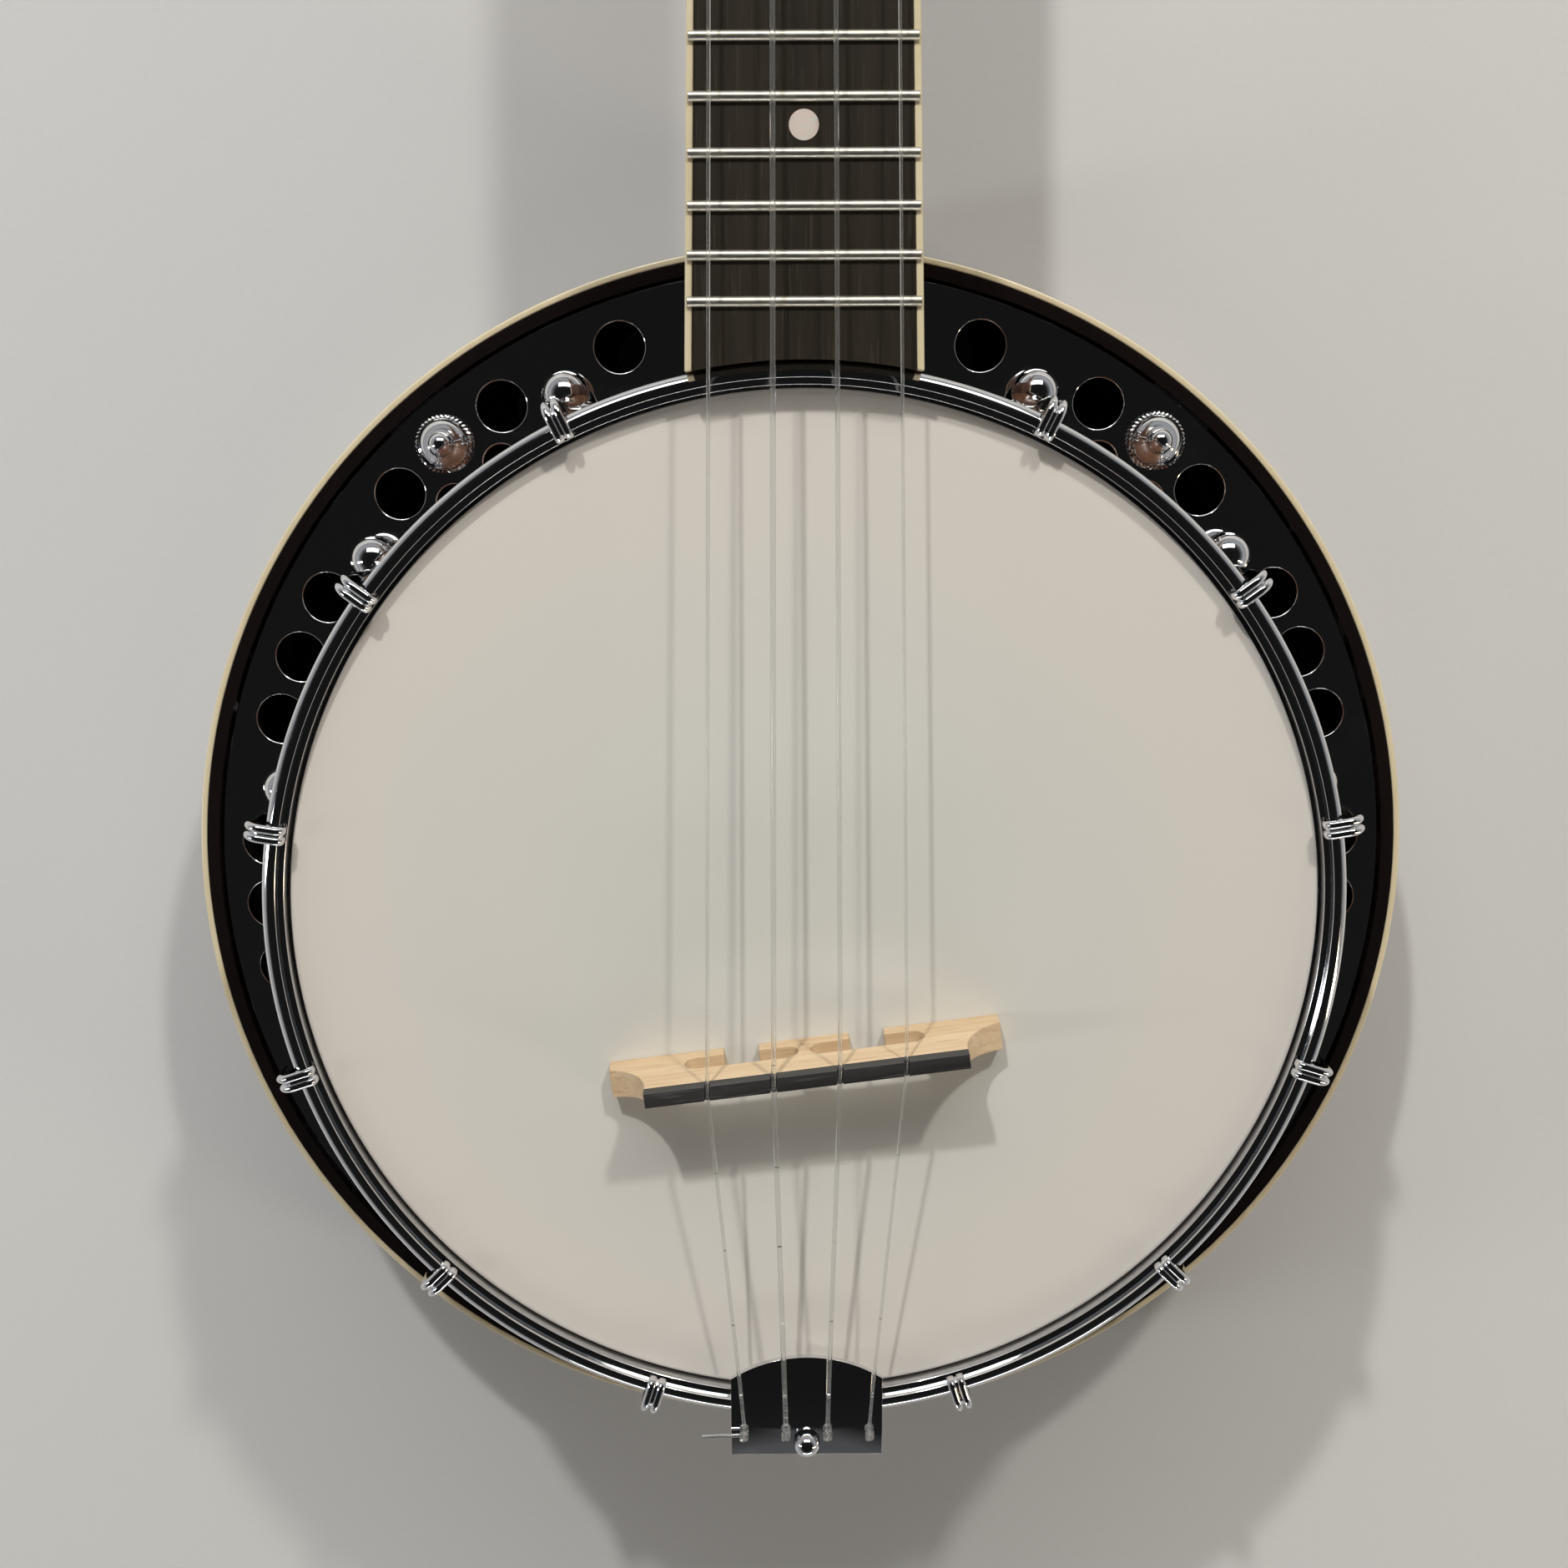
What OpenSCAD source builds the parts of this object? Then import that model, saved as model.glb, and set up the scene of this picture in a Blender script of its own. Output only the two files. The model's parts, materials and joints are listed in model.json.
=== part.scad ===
// Banjo-ukulele with a closed resonator, plate flange and an eight inch head.
// It lies on its back: +Z is up out of the head, +Y runs from the pot to the headstock.
// The origin is the centre of the flat back of the resonator. All sizes are in millimetres.

/* [Pot] */
// Height of the playing face of the head above the resonator's back
head_z = 84; // [80:1:90]
// Outer radius of the wooden rim and of the tone ring on it
rim_r = 101.2; // [101:0.1:101.4]
// Thickness of the wooden rim's wall
rim_wall = 9; // [7:0.5:11]
// Outer radius of the tension hoop
hoop_r = 106.4; // [106:0.1:106.8]
// Height of the tension hoop's crest above the head
hoop_rise = 3.6; // [3:0.1:4]

/* [Hooks] */
// Number of tension hooks on each side of the neck
hooks_per_side = 6; // [6]
// Angle from the neck to the first hook
first_hook_angle = 25.7; // [25:0.1:27]
// Angle from one hook to the next
hook_step = 27.4; // [27:0.1:27.6]
// Radius of the circle that the hook shanks stand on
hook_circle_r = 108.7; // [108.5:0.1:109]
// Diameter of a hook's shank
hook_d = 3.2; // [2.8:0.1:3.4]
// Width of a hook's claw
claw_w = 3.7; // [3.4:0.1:4]

/* [Resonator] */
// Outer radius of the resonator
resonator_r = 131; // [129:0.5:134]
// Height of the resonator
resonator_h = 42; // [40:1:42]
// Thickness of the resonator's side wall
resonator_wall_t = 4; // [3.5:0.5:4]
// Width of the binding strip, seen from above
binding_w = 1.35; // [1:0.05:1.6]
// Radius of the flat middle of the back
back_flat_r = 95; // [90:1:100]

/* [Flange] */
// Outer radius of the flange plate
flange_r = 126.4; // [126:0.1:126.5]
// Thickness of the flange plate
flange_t = 1.5; // [1.2:0.1:1.6]
// Radius of the circle that the sound holes lie on
hole_circle_r = 116.7; // [116:0.1:117]
// Diameter of a sound hole
hole_d = 10.5; // [9:0.1:10.8]
// Angle between neighbouring sound holes of one bay
hole_step = 7; // [6.8:0.1:7.1]

/* [Neck] */
// Scale length, from the nut to the line of the bridge
scale_length = 387; // [380:1:390]
// Number of frets
fret_count = 18; // [12:1:18]
// Distance from the pot's axis to the last fret
last_fret_y = 116.9; // [116:0.1:118]
// Width of the fretboard where it meets the hoop
board_w_pot = 44; // [42:0.5:45]
// Width of the fretboard at the nut
board_w_nut = 34; // [33:0.5:36]
// Thickness of the fretboard
board_t = 5.5; // [4.5:0.5:6]
// Height of the fretboard's playing face above the head
board_rise = 7.5; // [7:0.1:8]
// Backward tilt of the headstock
headstock_angle = 10; // [8:1:12]
// Length of the headstock
headstock_l = 112; // [110:1:116]

/* [Strings and bridge] */
// Spacing of the strings on the bridge
bridge_spacing = 12.8; // [12:0.1:13]
// Spacing of the strings at the nut
nut_spacing = 9.4; // [8.6:0.1:9.6]
// Spacing of the strings at the tailpiece
tail_spacing = 8.6; // [8.4:0.1:8.8]
// Height of the bridge
bridge_h = 16.2; // [15:0.1:17]
// Length of the bridge across its feet
bridge_base_l = 78; // [74:1:80]
// Length of the bridge along its crest
bridge_top_l = 63.2; // [60:0.1:66]
// Distance from the pot's axis to the bridge, towards the tail
bridge_y = 29; // [20:1:32]
// Angle at which the bridge stands across the strings
bridge_angle = 7; // [0:0.5:7]

/* [Tuners] */
// Distance of a string post from the headstock's centre line
post_x = 17; // [16.5:0.5:17]
// Distance from the nut to the nearer posts
near_post_y = 34; // [34:1:36]
// Distance from the nut to the farther posts
far_post_y = 72; // [70:1:74]
// Diameter of a string post
post_d = 6; // [5.8:0.1:6]
// Length of a tuner button
button_l = 15; // [13:0.5:16]

/* [Hidden] */
$fn = 48;
SMOOTH = 160;            // segments of the large circles
gap = 0.05;              // play between parts that fit each other
eps = 0.01;              // overshoot of a cut
PLANE = 1000;            // size of a block that cuts away one side of a shape
HALF = PLANE / 2;

// Heights in the pot
flange_top = resonator_h - 1;
flange_z = flange_top - flange_t;
rim_z = 12;
tone_ring_z = head_z - 7;
head_t = 0.35;
flesh_z = head_z - 10.4;
flesh_h = 3.9;
rim_inner_r = rim_r - rim_wall;
ledge_r = rim_r + 3.4;
ledge_h = 9.5;
back_t = 4;
back_rise = 4.5;
wall_z = back_rise + 1.5;
resonator_inner_r = resonator_r - resonator_wall_t;
binding_h = 2.5;

hoop_crest_r = 1.6;

// Hooks, shoes and their bolts
hook_angles = [for (side = [-1, 1], k = [0 : hooks_per_side - 1]) side * (first_hook_angle + k * hook_step)];
hook_r = hook_d / 2;
hook_foot_z = 30;
shoe_z = flange_top + 5.5;
shoe_ball_r = 5;
shoe_ball_circle_r = hook_circle_r + 3.2;
nut_top_z = shoe_z - 4.6;
nut_h = 9;
nut_r = 3.3;

// Flange openings
middle_angles = [for (k = [0 : hooks_per_side - 2]) first_hook_angle + (k + 0.5) * hook_step];
thumb_bays = [0, 3];
thumb_angles = [for (side = [-1, 1], bay = thumb_bays) side * middle_angles[bay]];
thumb_circle_r = hole_circle_r + 0.8;
end_hole_offset = 6.9;
sound_hole_angles = concat(
    [for (m = middle_angles, k = [-1, 1]) m + k * hole_step],
    [for (bay = [0 : hooks_per_side - 2])
        if (bay != thumb_bays[0] && bay != thumb_bays[1]) middle_angles[bay]],
    [first_hook_angle - end_hole_offset, first_hook_angle + (hooks_per_side - 1) * hook_step + end_hole_offset]);
window_angles = [for (m = middle_angles, k = [-0.5, 0.5]) m + k * hole_step];

// Neck
board_top = head_z + board_rise;
board_z = board_top - board_t;
nut_y = last_fret_y + scale_length * (1 - pow(0.5, fret_count / 12));
bridge_line_y = nut_y - scale_length;
board_start_r = hoop_r + 0.3;
nut_w = 4;
nut_rise = 1.9;
heel_bottom = resonator_h + 1;
heel_curve_r = 27;
heel_y = 151;
shaft_y = 105;
shaft_end_y = nut_y + nut_w;
shaft_l = shaft_end_y - shaft_y;
shaft_depth_pot = 16;
shaft_depth_nut = 14.5;
fret_r = 1;
dot_r = 2.7;
dot_frets = [5, 7, 10, 15];
double_dot_fret = 12;
edge_binding_w = 1.35;
veneer_t = 1.2;
veneer_start = 0.3;
headstock_t = 12.5;
face_y = nut_y + nut_w + gap;
face_z = board_z + 1.5;

// Strings, from the left of the neck to the right
string_r = [0.35, 0.5, 0.43, 0.3];
string_z_nut = board_top + fret_r + 0.5;
string_z_bridge = head_z + bridge_h;
plate_t = 1.3;
plate_top = head_z + 5.2;
plate_front_y = -92.7;
plate_flat_y = -100.8;
fold_y = -107.3;
plate_end_y = -114.8;
plate_w = 31;
ledge_drop = 1.8;
tension_bolt_y = -111;
tension_bolt_r = 1.5;
rod_z = 50;
rod_r = 4;
bolt_r = 2.5;
upper_lag_z = 66;
anchor_y = fold_y - 1.7;
cut_tail_l = 7.6;
tail_drop = 0.2;
wind_z = 6.4;
wind_turns = 3;

// Tuners, in the frame of the headstock's face
post_r = post_d / 2;
post_top = 10;
gear_r = 4.4;
gear_h = 3.6;
gear_teeth = 14;
gear_z = -(headstock_t + veneer_t) - 5.6;
worm_r = 2.4;
worm_offset = gear_r + worm_r + 0.3;
worm_z = gear_z + gear_h / 2;
housing_x = 8.2;
housing_y0 = -6.6;
housing_y1 = 10.6;
housing_h = 8.4;
base_plate_t = 1.2;
back_face = -(headstock_t + veneer_t) - gap;
button_x = 36;
shaft_r = 1.6;
tuner_sites = [[-1, near_post_y], [-1, far_post_y], [1, far_post_y], [1, near_post_y]];

// The vector v at unit length
function unit(v) = v / norm(v);
// Width of the fretboard at a distance y from the pot's axis
function board_w(y) = board_w_pot + (board_w_nut - board_w_pot) * (y - shaft_y) / (nut_y - shaft_y);
// Place of a fret along the neck
function fret_y(n) = bridge_line_y + scale_length * pow(0.5, n / 12);
// Offset of string i from the centre line, for a spacing s
function string_x(i, s) = (i - 1.5) * s;
// Height of the fold ledge's upper face
function ledge_z(y) = plate_top - ledge_drop * (fold_y - y) / (fold_y - plate_end_y);
// A point of the headstock's frame in the frame of the part
function on_face(p) = [p.x,
    face_y + p.y * cos(headstock_angle) + p.z * sin(headstock_angle),
    face_z - p.y * sin(headstock_angle) + p.z * cos(headstock_angle)];
// The bridge's centre line at string i
function bridge_point(i) = let (x = string_x(i, bridge_spacing))
    [x, -bridge_y + x * tan(bridge_angle), string_z_bridge];
// Route of string i, from its knot over the tailpiece, bridge and nut to its post
function string_route(i) = [
    [string_x(i, tail_spacing), anchor_y, ledge_z(anchor_y) + 1.2],
    [string_x(i, tail_spacing), fold_y, plate_top + string_r[i] + gap],
    [string_x(i, tail_spacing * 1.04), plate_flat_y, plate_top + string_r[i] + gap],
    bridge_point(i),
    [string_x(i, nut_spacing), nut_y + nut_w / 2, string_z_nut],
    on_face([tuner_sites[i][0] * (post_x - post_r - string_r[i] - gap), tuner_sites[i][1], wind_z])];

// Puts children at an angle from the neck, with +Y pointing outwards
module at_angle(a) {
    rotate([0, 0, -a]) children();
}

// Puts children in the frame of the headstock's face
module on_headstock() {
    translate([0, face_y, face_z]) rotate([-headstock_angle, 0, 0]) children();
}

// A ring with a rectangular section
module ring(r_out, r_in, z, h) {
    translate([0, 0, z]) difference() {
        cylinder(h = h, r = r_out, $fn = SMOOTH);
        translate([0, 0, -eps]) cylinder(h = h + 2 * eps, r = r_in, $fn = SMOOTH);
    }
}

// A round cord through a list of points, with a radius at each point
module cord(points, radii) {
    sides = 8;
    last = len(points) - 1;
    rings = [for (k = [0 : last])
        let (ahead = unit(points[min(k + 1, last)] - points[max(k - 1, 0)]),
            across = unit(cross(ahead, [0, 0, 1])),
            up = cross(across, ahead))
        for (s = [0 : sides - 1])
            points[k] + radii[k] * (cos(s * 360 / sides) * across + sin(s * 360 / sides) * up)];
    walls = [for (k = [0 : last - 1], s = [0 : sides - 1])
        let (a = k * sides + s, b = k * sides + (s + 1) % sides) [a, b, b + sides, a + sides]];
    start_cap = [for (s = [0 : sides - 1]) sides - 1 - s];
    end_cap = [for (s = [0 : sides - 1]) last * sides + s];
    polyhedron(points = rings, faces = concat([start_cap], walls, [end_cap]), convexity = 4);
}

// A cylinder that lies along +Y
module along_y(r, l) {
    rotate([-90, 0, 0]) cylinder(h = l, r = r);
}

// A hexagonal head or nut with its axis along +Y
module hex_along_y(r, l) {
    rotate([-90, 0, 0]) cylinder(h = l, r = r, $fn = 6);
}

// ---- Resonator ----

module resonator_back() {
    steps = 12;
    span = resonator_r - back_flat_r;
    rim_points = [for (k = [0 : steps]) [back_flat_r + span * k / steps, back_rise * pow(k / steps, 2)]];
    color("#140f0d") rotate_extrude($fn = SMOOTH)
        polygon(concat([[0, back_t], [0, 0]], rim_points,
            [[resonator_r, wall_z], [resonator_r - span / 2, wall_z], [back_flat_r, back_t]]));
}

module resonator_wall() {
    color("#120d0c") difference() {
        ring(resonator_r, resonator_inner_r, wall_z + gap, resonator_h - wall_z - gap);
        ring(resonator_r + 1, resonator_r - binding_w - gap, resonator_h - binding_h - gap, binding_h + 1);
        ring(resonator_r + 1, resonator_r - binding_w - gap, wall_z - 1, binding_h + 1 + gap);
        bracket_screw_holes();
    }
}

module resonator_bindings() {
    color("#ece2bd") {
        ring(resonator_r, resonator_r - binding_w, resonator_h - binding_h, binding_h);
        ring(resonator_r, resonator_r - binding_w, wall_z + 2 * gap, binding_h - gap);
    }
}

bracket_w = 15;
bracket_leg = 3;
bracket_z = 18;
bracket_top = flange_z - gap;
bracket_shelf_t = 4;
screw_r = 1.2;
bracket_screw_z = [22, 29];

module bracket_screw_holes() {
    for (a = thumb_angles, z = bracket_screw_z)
        at_angle(a) translate([0, resonator_inner_r - 1, z]) along_y(screw_r + gap, 3.6);
}

// Angle pieces inside the resonator that take the thumbscrews
module resonator_brackets() {
    color("#c9cbce") for (a = thumb_angles) at_angle(a) difference() {
        intersection() {
            union() {
                translate([-bracket_w / 2, resonator_inner_r - bracket_leg - 1, bracket_z])
                    cube([bracket_w, bracket_leg + 1, bracket_top - bracket_z]);
                translate([-bracket_w / 2, thumb_circle_r - 6, bracket_top - bracket_shelf_t])
                    cube([bracket_w, resonator_inner_r - thumb_circle_r + 6, bracket_shelf_t]);
            }
            cylinder(h = resonator_h, r = resonator_inner_r - gap, $fn = SMOOTH);
        }
        translate([0, thumb_circle_r, 0]) cylinder(h = resonator_h, r = thumb_shank_r + gap);
        for (z = bracket_screw_z)
            translate([0, resonator_inner_r - bracket_leg - 2, z]) along_y(screw_r + gap, bracket_leg + 3);
    }
}

module bracket_screws() {
    color("#d8dadd") for (a = thumb_angles, z = bracket_screw_z)
        at_angle(a) translate([0, resonator_inner_r - bracket_leg - 1 - gap, z]) {
            translate([0, -1.3, 0]) along_y(2.3, 1.3);
            along_y(screw_r, bracket_leg + 3);
        }
}

thumb_shank_r = 2;
thumb_head_r = 6.1;
thumb_rim_h = 3;

// Knurled thumbscrew that holds the resonator to the flange
module thumbscrew(k) {
    teeth = 36;
    color("#e3e5e8") at_angle(thumb_angles[k]) translate([0, thumb_circle_r, flange_top + gap]) {
        difference() {
            cylinder(h = thumb_rim_h, r = thumb_head_r);
            for (t = [0 : teeth - 1]) rotate([0, 0, t * 360 / teeth])
                translate([thumb_head_r + 0.15, 0, -eps])
                    cylinder(h = thumb_rim_h + 2 * eps, r = 0.4, $fn = 4);
        }
        rotate_extrude() difference() {
            union() {
                translate([0, thumb_rim_h - 1.5]) intersection() {
                    circle(r = thumb_head_r - 0.7);
                    square([thumb_head_r, 3.2]);
                }
                translate([0, thumb_rim_h]) square([2.6, 3.1]);
                translate([0, thumb_rim_h + 3.1]) circle(r = 2.6);
            }
            translate([-PLANE, -HALF]) square([PLANE, PLANE]);
        }
        translate([0, 0, -flange_t - bracket_shelf_t - 6])
            cylinder(h = flange_t + bracket_shelf_t + 7, r = thumb_shank_r);
    }
}

// ---- Flange and pot ----

module flange() {
    windows_r = 3.8;
    windows_circle_r = 107.3;
    hook_window_r = 4.6;
    hook_window_circle_r = hook_circle_r + 0.5;
    color("#b9bcc1") translate([0, 0, flange_z]) linear_extrude(flange_t) difference() {
        circle(r = flange_r, $fn = SMOOTH);
        circle(r = rim_r + gap, $fn = SMOOTH);
        for (side = [-1, 1]) {
            for (a = sound_hole_angles) at_angle(side * a) translate([0, hole_circle_r]) circle(d = hole_d);
            for (a = window_angles) at_angle(side * a) translate([0, windows_circle_r]) circle(r = windows_r);
        }
        for (a = hook_angles) at_angle(a) translate([0, hook_window_circle_r]) circle(r = hook_window_r);
        for (a = thumb_angles) at_angle(a) translate([0, thumb_circle_r]) circle(r = thumb_shank_r + 0.6);
    }
}

// Steam-bent wooden rim with the ledge that carries the flange
module wood_rim() {
    color("#5b3320") difference() {
        union() {
            ring(rim_r, rim_inner_r, rim_z, tone_ring_z - rim_z - gap);
            ring(ledge_r, rim_inner_r, flange_z - ledge_h, ledge_h - gap);
        }
        for (a = hook_angles)
            at_angle(a) translate([0, rim_inner_r - 2, shoe_z]) along_y(shoe_bolt_r + gap, 20);
        for (z = [rod_z, upper_lag_z]) translate([0, rim_inner_r - 2, z]) along_y(bolt_r + gap, rim_wall + 4);
        translate([0, -rim_r - 2, rod_z]) along_y(bolt_r + gap, rim_wall + 4);
    }
}

// Metal bearing ring under the head
module tone_ring() {
    round_r = 1.2;
    inner_r = rim_inner_r + 1.5;
    top = head_z - head_t - gap;
    color("#caa95a") rotate_extrude($fn = SMOOTH) {
        translate([inner_r, tone_ring_z]) square([rim_r - inner_r, top - tone_ring_z - round_r]);
        translate([inner_r + 3, tone_ring_z]) square([rim_r - inner_r - 3 - round_r, top - tone_ring_z]);
        translate([rim_r - round_r, top - round_r]) circle(r = round_r);
    }
}

// Milky plastic film head with its collar
module head_film() {
    round_r = 1.3;
    inner_r = rim_r + gap;
    outer_r = inner_r + head_t;
    collar_z = flesh_z + flesh_h + gap;
    color("#eceff0") rotate_extrude($fn = SMOOTH) {
        translate([0, head_z - head_t]) square([outer_r - round_r, head_t]);
        translate([inner_r, collar_z]) square([head_t, head_z - round_r - collar_z]);
        translate([outer_r - round_r, head_z - round_r]) intersection() {
            difference() {
                circle(r = round_r);
                circle(r = round_r - head_t);
            }
            square(round_r);
        }
    }
}

// Metal hoop that the edge of the head is crimped in
module flesh_hoop() {
    color("#a9abad") ring(rim_r + 3.2, rim_r + 0.2, flesh_z, flesh_h);
}

// Plated hoop that the hooks pull down on the head
module tension_hoop() {
    inner_r = rim_r + 1;
    skirt_r = rim_r + 3.6;
    seat_z = flesh_z + flesh_h + gap;
    skirt_z = flesh_z - 1;
    crest = head_z + hoop_rise;
    crest_r = hoop_crest_r;
    color("#c9ccd1") rotate_extrude($fn = SMOOTH) {
        polygon([[skirt_r, skirt_z], [hoop_r, skirt_z], [hoop_r, crest - crest_r],
            [hoop_r - crest_r, crest - crest_r], [hoop_r - crest_r - 1.2, crest - 0.15],
            [inner_r + 0.7, head_z + 1.6], [inner_r, head_z + 1.3], [inner_r, seat_z], [skirt_r, seat_z]]);
        translate([hoop_r - crest_r, crest - crest_r]) circle(r = crest_r);
        translate([hoop_r - crest_r - 1.2, crest - crest_r]) square([1.2, crest_r - 0.02]);
    }
}

// One hook: a claw over the hoop and a threaded shank beside it
module hook() {
    bend_r = 3.4;
    play = 0.15;
    outer = hook_circle_r + hook_r + play;
    inner = hook_circle_r - hook_r - play;
    top = head_z + hoop_rise + 1.7;
    under = head_z + hoop_rise + play;
    tip_r = rim_r + 0.9;
    tip_z = head_z + 1.9;
    claw_z = head_z - 3;
    rotate([90, 0, 90]) translate([0, 0, -claw_w / 2]) linear_extrude(claw_w) {
        difference() {
            union() {
                polygon([[inner, claw_z], [outer, claw_z], [outer, top - bend_r],
                    [outer - bend_r, top - bend_r], [outer - bend_r, top], [hoop_r - 2.8, top],
                    [tip_r, tip_z + 1.5], [tip_r, tip_z], [tip_r + 0.6, tip_z],
                    [hoop_r - 2.8, under], [inner, under]]);
                translate([outer - bend_r, top - bend_r]) circle(r = bend_r);
            }
            translate([hoop_r - hoop_crest_r, head_z + hoop_rise - hoop_crest_r])
                circle(r = hoop_crest_r + play);
            translate([hoop_r - 3, claw_z - eps])
                square([3 + play, head_z + hoop_rise - hoop_crest_r - claw_z]);
        }
    }
    translate([0, hook_circle_r, hook_foot_z]) cylinder(h = claw_z - hook_foot_z + 1, r = hook_r);
}

module hooks() {
    color("#dadde1") for (a = hook_angles) at_angle(a) hook();
}

module hook_nuts() {
    color("#cfd2d6") for (a = hook_angles) at_angle(a)
        translate([0, hook_circle_r, nut_top_z - nut_h]) difference() {
            cylinder(h = nut_h, r = nut_r, $fn = 6);
            translate([0, 0, -1]) cylinder(h = nut_h + 2, r = hook_r + gap);
        }
}

shoe_bolt_r = 2;
shoe_boss_r = 4.4;

// Ball-ended brackets on the rim that the hooks pass through
module bracket_shoes() {
    foot_w = 9;
    foot_l = 3.4;
    color("#e3e5e8") for (a = hook_angles) at_angle(a) difference() {
        union() {
            translate([0, rim_r - 1, shoe_z]) along_y(shoe_boss_r, shoe_ball_circle_r - rim_r + 1);
            translate([0, shoe_ball_circle_r, shoe_z]) sphere(r = shoe_ball_r);
            translate([-foot_w / 2, rim_r - 1, flange_top + gap]) cube([foot_w, foot_l + 1, 9.5]);
        }
        cylinder(h = head_z, r = rim_r + gap, $fn = SMOOTH);
        translate([0, hook_circle_r, 0]) cylinder(h = head_z, r = hook_r + gap);
        translate([0, hook_circle_r, nut_top_z - nut_h]) cylinder(h = nut_h + gap, r = nut_r + 0.3);
        translate([0, rim_r - 2, shoe_z]) along_y(shoe_bolt_r + gap, hook_circle_r - hook_r - rim_r + 1);
    }
}

// Bolts that hold the shoes, with their heads inside the rim
module shoe_bolts() {
    head_l = 2.6;
    color("#b8babd") for (a = hook_angles) at_angle(a) translate([0, rim_inner_r, shoe_z]) {
        translate([0, -1 - head_l, 0]) hex_along_y(4, head_l);
        translate([0, -1, 0]) along_y(shoe_bolt_r, rim_wall + 5.5);
        translate([0, -1.01, 0]) difference() {
            along_y(5, 0.7);
            translate([0, -eps, 0]) along_y(shoe_bolt_r - 0.1, 0.72);
        }
    }
}

// ---- Coordinator rod and bolts ----

rod_end_y = 89.5;
rod_socket = 16;

module coordinator_rod() {
    color("#c4c7ca") difference() {
        translate([0, -rod_end_y, rod_z]) along_y(rod_r, 2 * rod_end_y);
        for (side = [-1, 1])
            translate([0, side > 0 ? rod_end_y - rod_socket : -rod_end_y - 1, rod_z])
                along_y(bolt_r + gap, rod_socket + 1);
        translate([0, 0, rod_z - rod_r - 1]) cylinder(h = 2 * rod_r + 2, r = 1.4);
    }
}

lag_depth = 18;

// Two bolts that pass from the heel through the rim
module neck_lag_bolts() {
    lower_start_y = rod_end_y - rod_socket + 2;
    color("#b8babd") {
        translate([0, lower_start_y, rod_z]) along_y(bolt_r, rim_r + lag_depth - lower_start_y);
        translate([0, rim_inner_r - 8, upper_lag_z]) along_y(bolt_r, rim_wall + 8 + lag_depth);
    }
}

// Nut and washer of the upper lag bolt, inside the rim
module lag_nut() {
    color("#cfd2d6") translate([0, 0, upper_lag_z]) difference() {
        union() {
            translate([0, rim_inner_r - 2, 0]) along_y(6, 1.2);
            translate([0, rim_inner_r - 6, 0]) hex_along_y(4.6, 4.2);
        }
        translate([0, rim_inner_r - 7, 0]) along_y(bolt_r + gap, 8);
    }
}

tail_plate_t = 2;

// Bolt that passes through the tail bracket and the rim into the rod
module tail_bolt() {
    start_y = -rim_r - tail_plate_t - 1;
    color("#b8babd") translate([0, 0, rod_z]) {
        translate([0, start_y - 2.4, 0]) hex_along_y(4.6, 3.2);
        translate([0, start_y, 0]) along_y(bolt_r, rod_socket - 2 - rod_end_y - start_y);
    }
}

tail_bracket_w = 12;
tail_bracket_z = flange_top + 1.5;
shelf_z = 62;

// Angle bracket on the rim that the tension bolt hooks under
module tail_bracket() {
    color("#c4c7ca") difference() {
        union() {
            translate([-tail_bracket_w / 2, -rim_r - tail_plate_t, tail_bracket_z])
                cube([tail_bracket_w, tail_plate_t + 1, shelf_z + 2 - tail_bracket_z]);
            translate([-tail_bracket_w / 2, tension_bolt_y - 4, shelf_z])
                cube([tail_bracket_w, -rim_r - tension_bolt_y + 4, 2]);
        }
        cylinder(h = head_z, r = rim_r + gap, $fn = SMOOTH);
        translate([0, -rim_r - tail_plate_t - 1, rod_z]) along_y(bolt_r + gap, tail_plate_t + 3);
        translate([0, tension_bolt_y, shelf_z - 1]) cylinder(h = 4, r = tension_bolt_r + gap);
    }
}

// Bolt that pulls the tailpiece down, with its nut under the bracket
module tension_bolt() {
    foot = shelf_z - 6;
    color("#cfd2d6") translate([0, tension_bolt_y, 0]) {
        translate([0, 0, foot]) cylinder(h = tail_nut_z + 1.2 - foot, r = tension_bolt_r);
        translate([0, 0, foot + 2]) cylinder(h = 3.9, r = 3.2, $fn = 6);
    }
}

tail_nut_r = 2.7;
tail_nut_z = ledge_z(tension_bolt_y) + 0.9;

// Domed nut on the tailpiece, with its foot cut to the slope of the ledge
module tail_nut() {
    dome_z = 0.8;
    bore_h = 1.3;
    color("#d9c58c") difference() {
        translate([0, tension_bolt_y, tail_nut_z]) {
            translate([0, 0, -2]) cylinder(h = 2 + dome_z, r = tail_nut_r);
            translate([0, 0, dome_z]) intersection() {
                sphere(r = tail_nut_r - 0.1);
                cylinder(h = tail_nut_r, r = tail_nut_r);
            }
        }
        rotate([90, 0, 90]) translate([0, 0, -5]) linear_extrude(10)
            polygon([[fold_y + 5, ledge_z(fold_y + 5) + gap],
                [plate_end_y - 5, ledge_z(plate_end_y - 5) + gap],
                [plate_end_y - 5, head_z - 5], [fold_y + 5, head_z - 5]]);
        translate([0, tension_bolt_y, tail_nut_z - 5]) cylinder(h = 5 + bore_h, r = tension_bolt_r + gap);
    }
}

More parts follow.
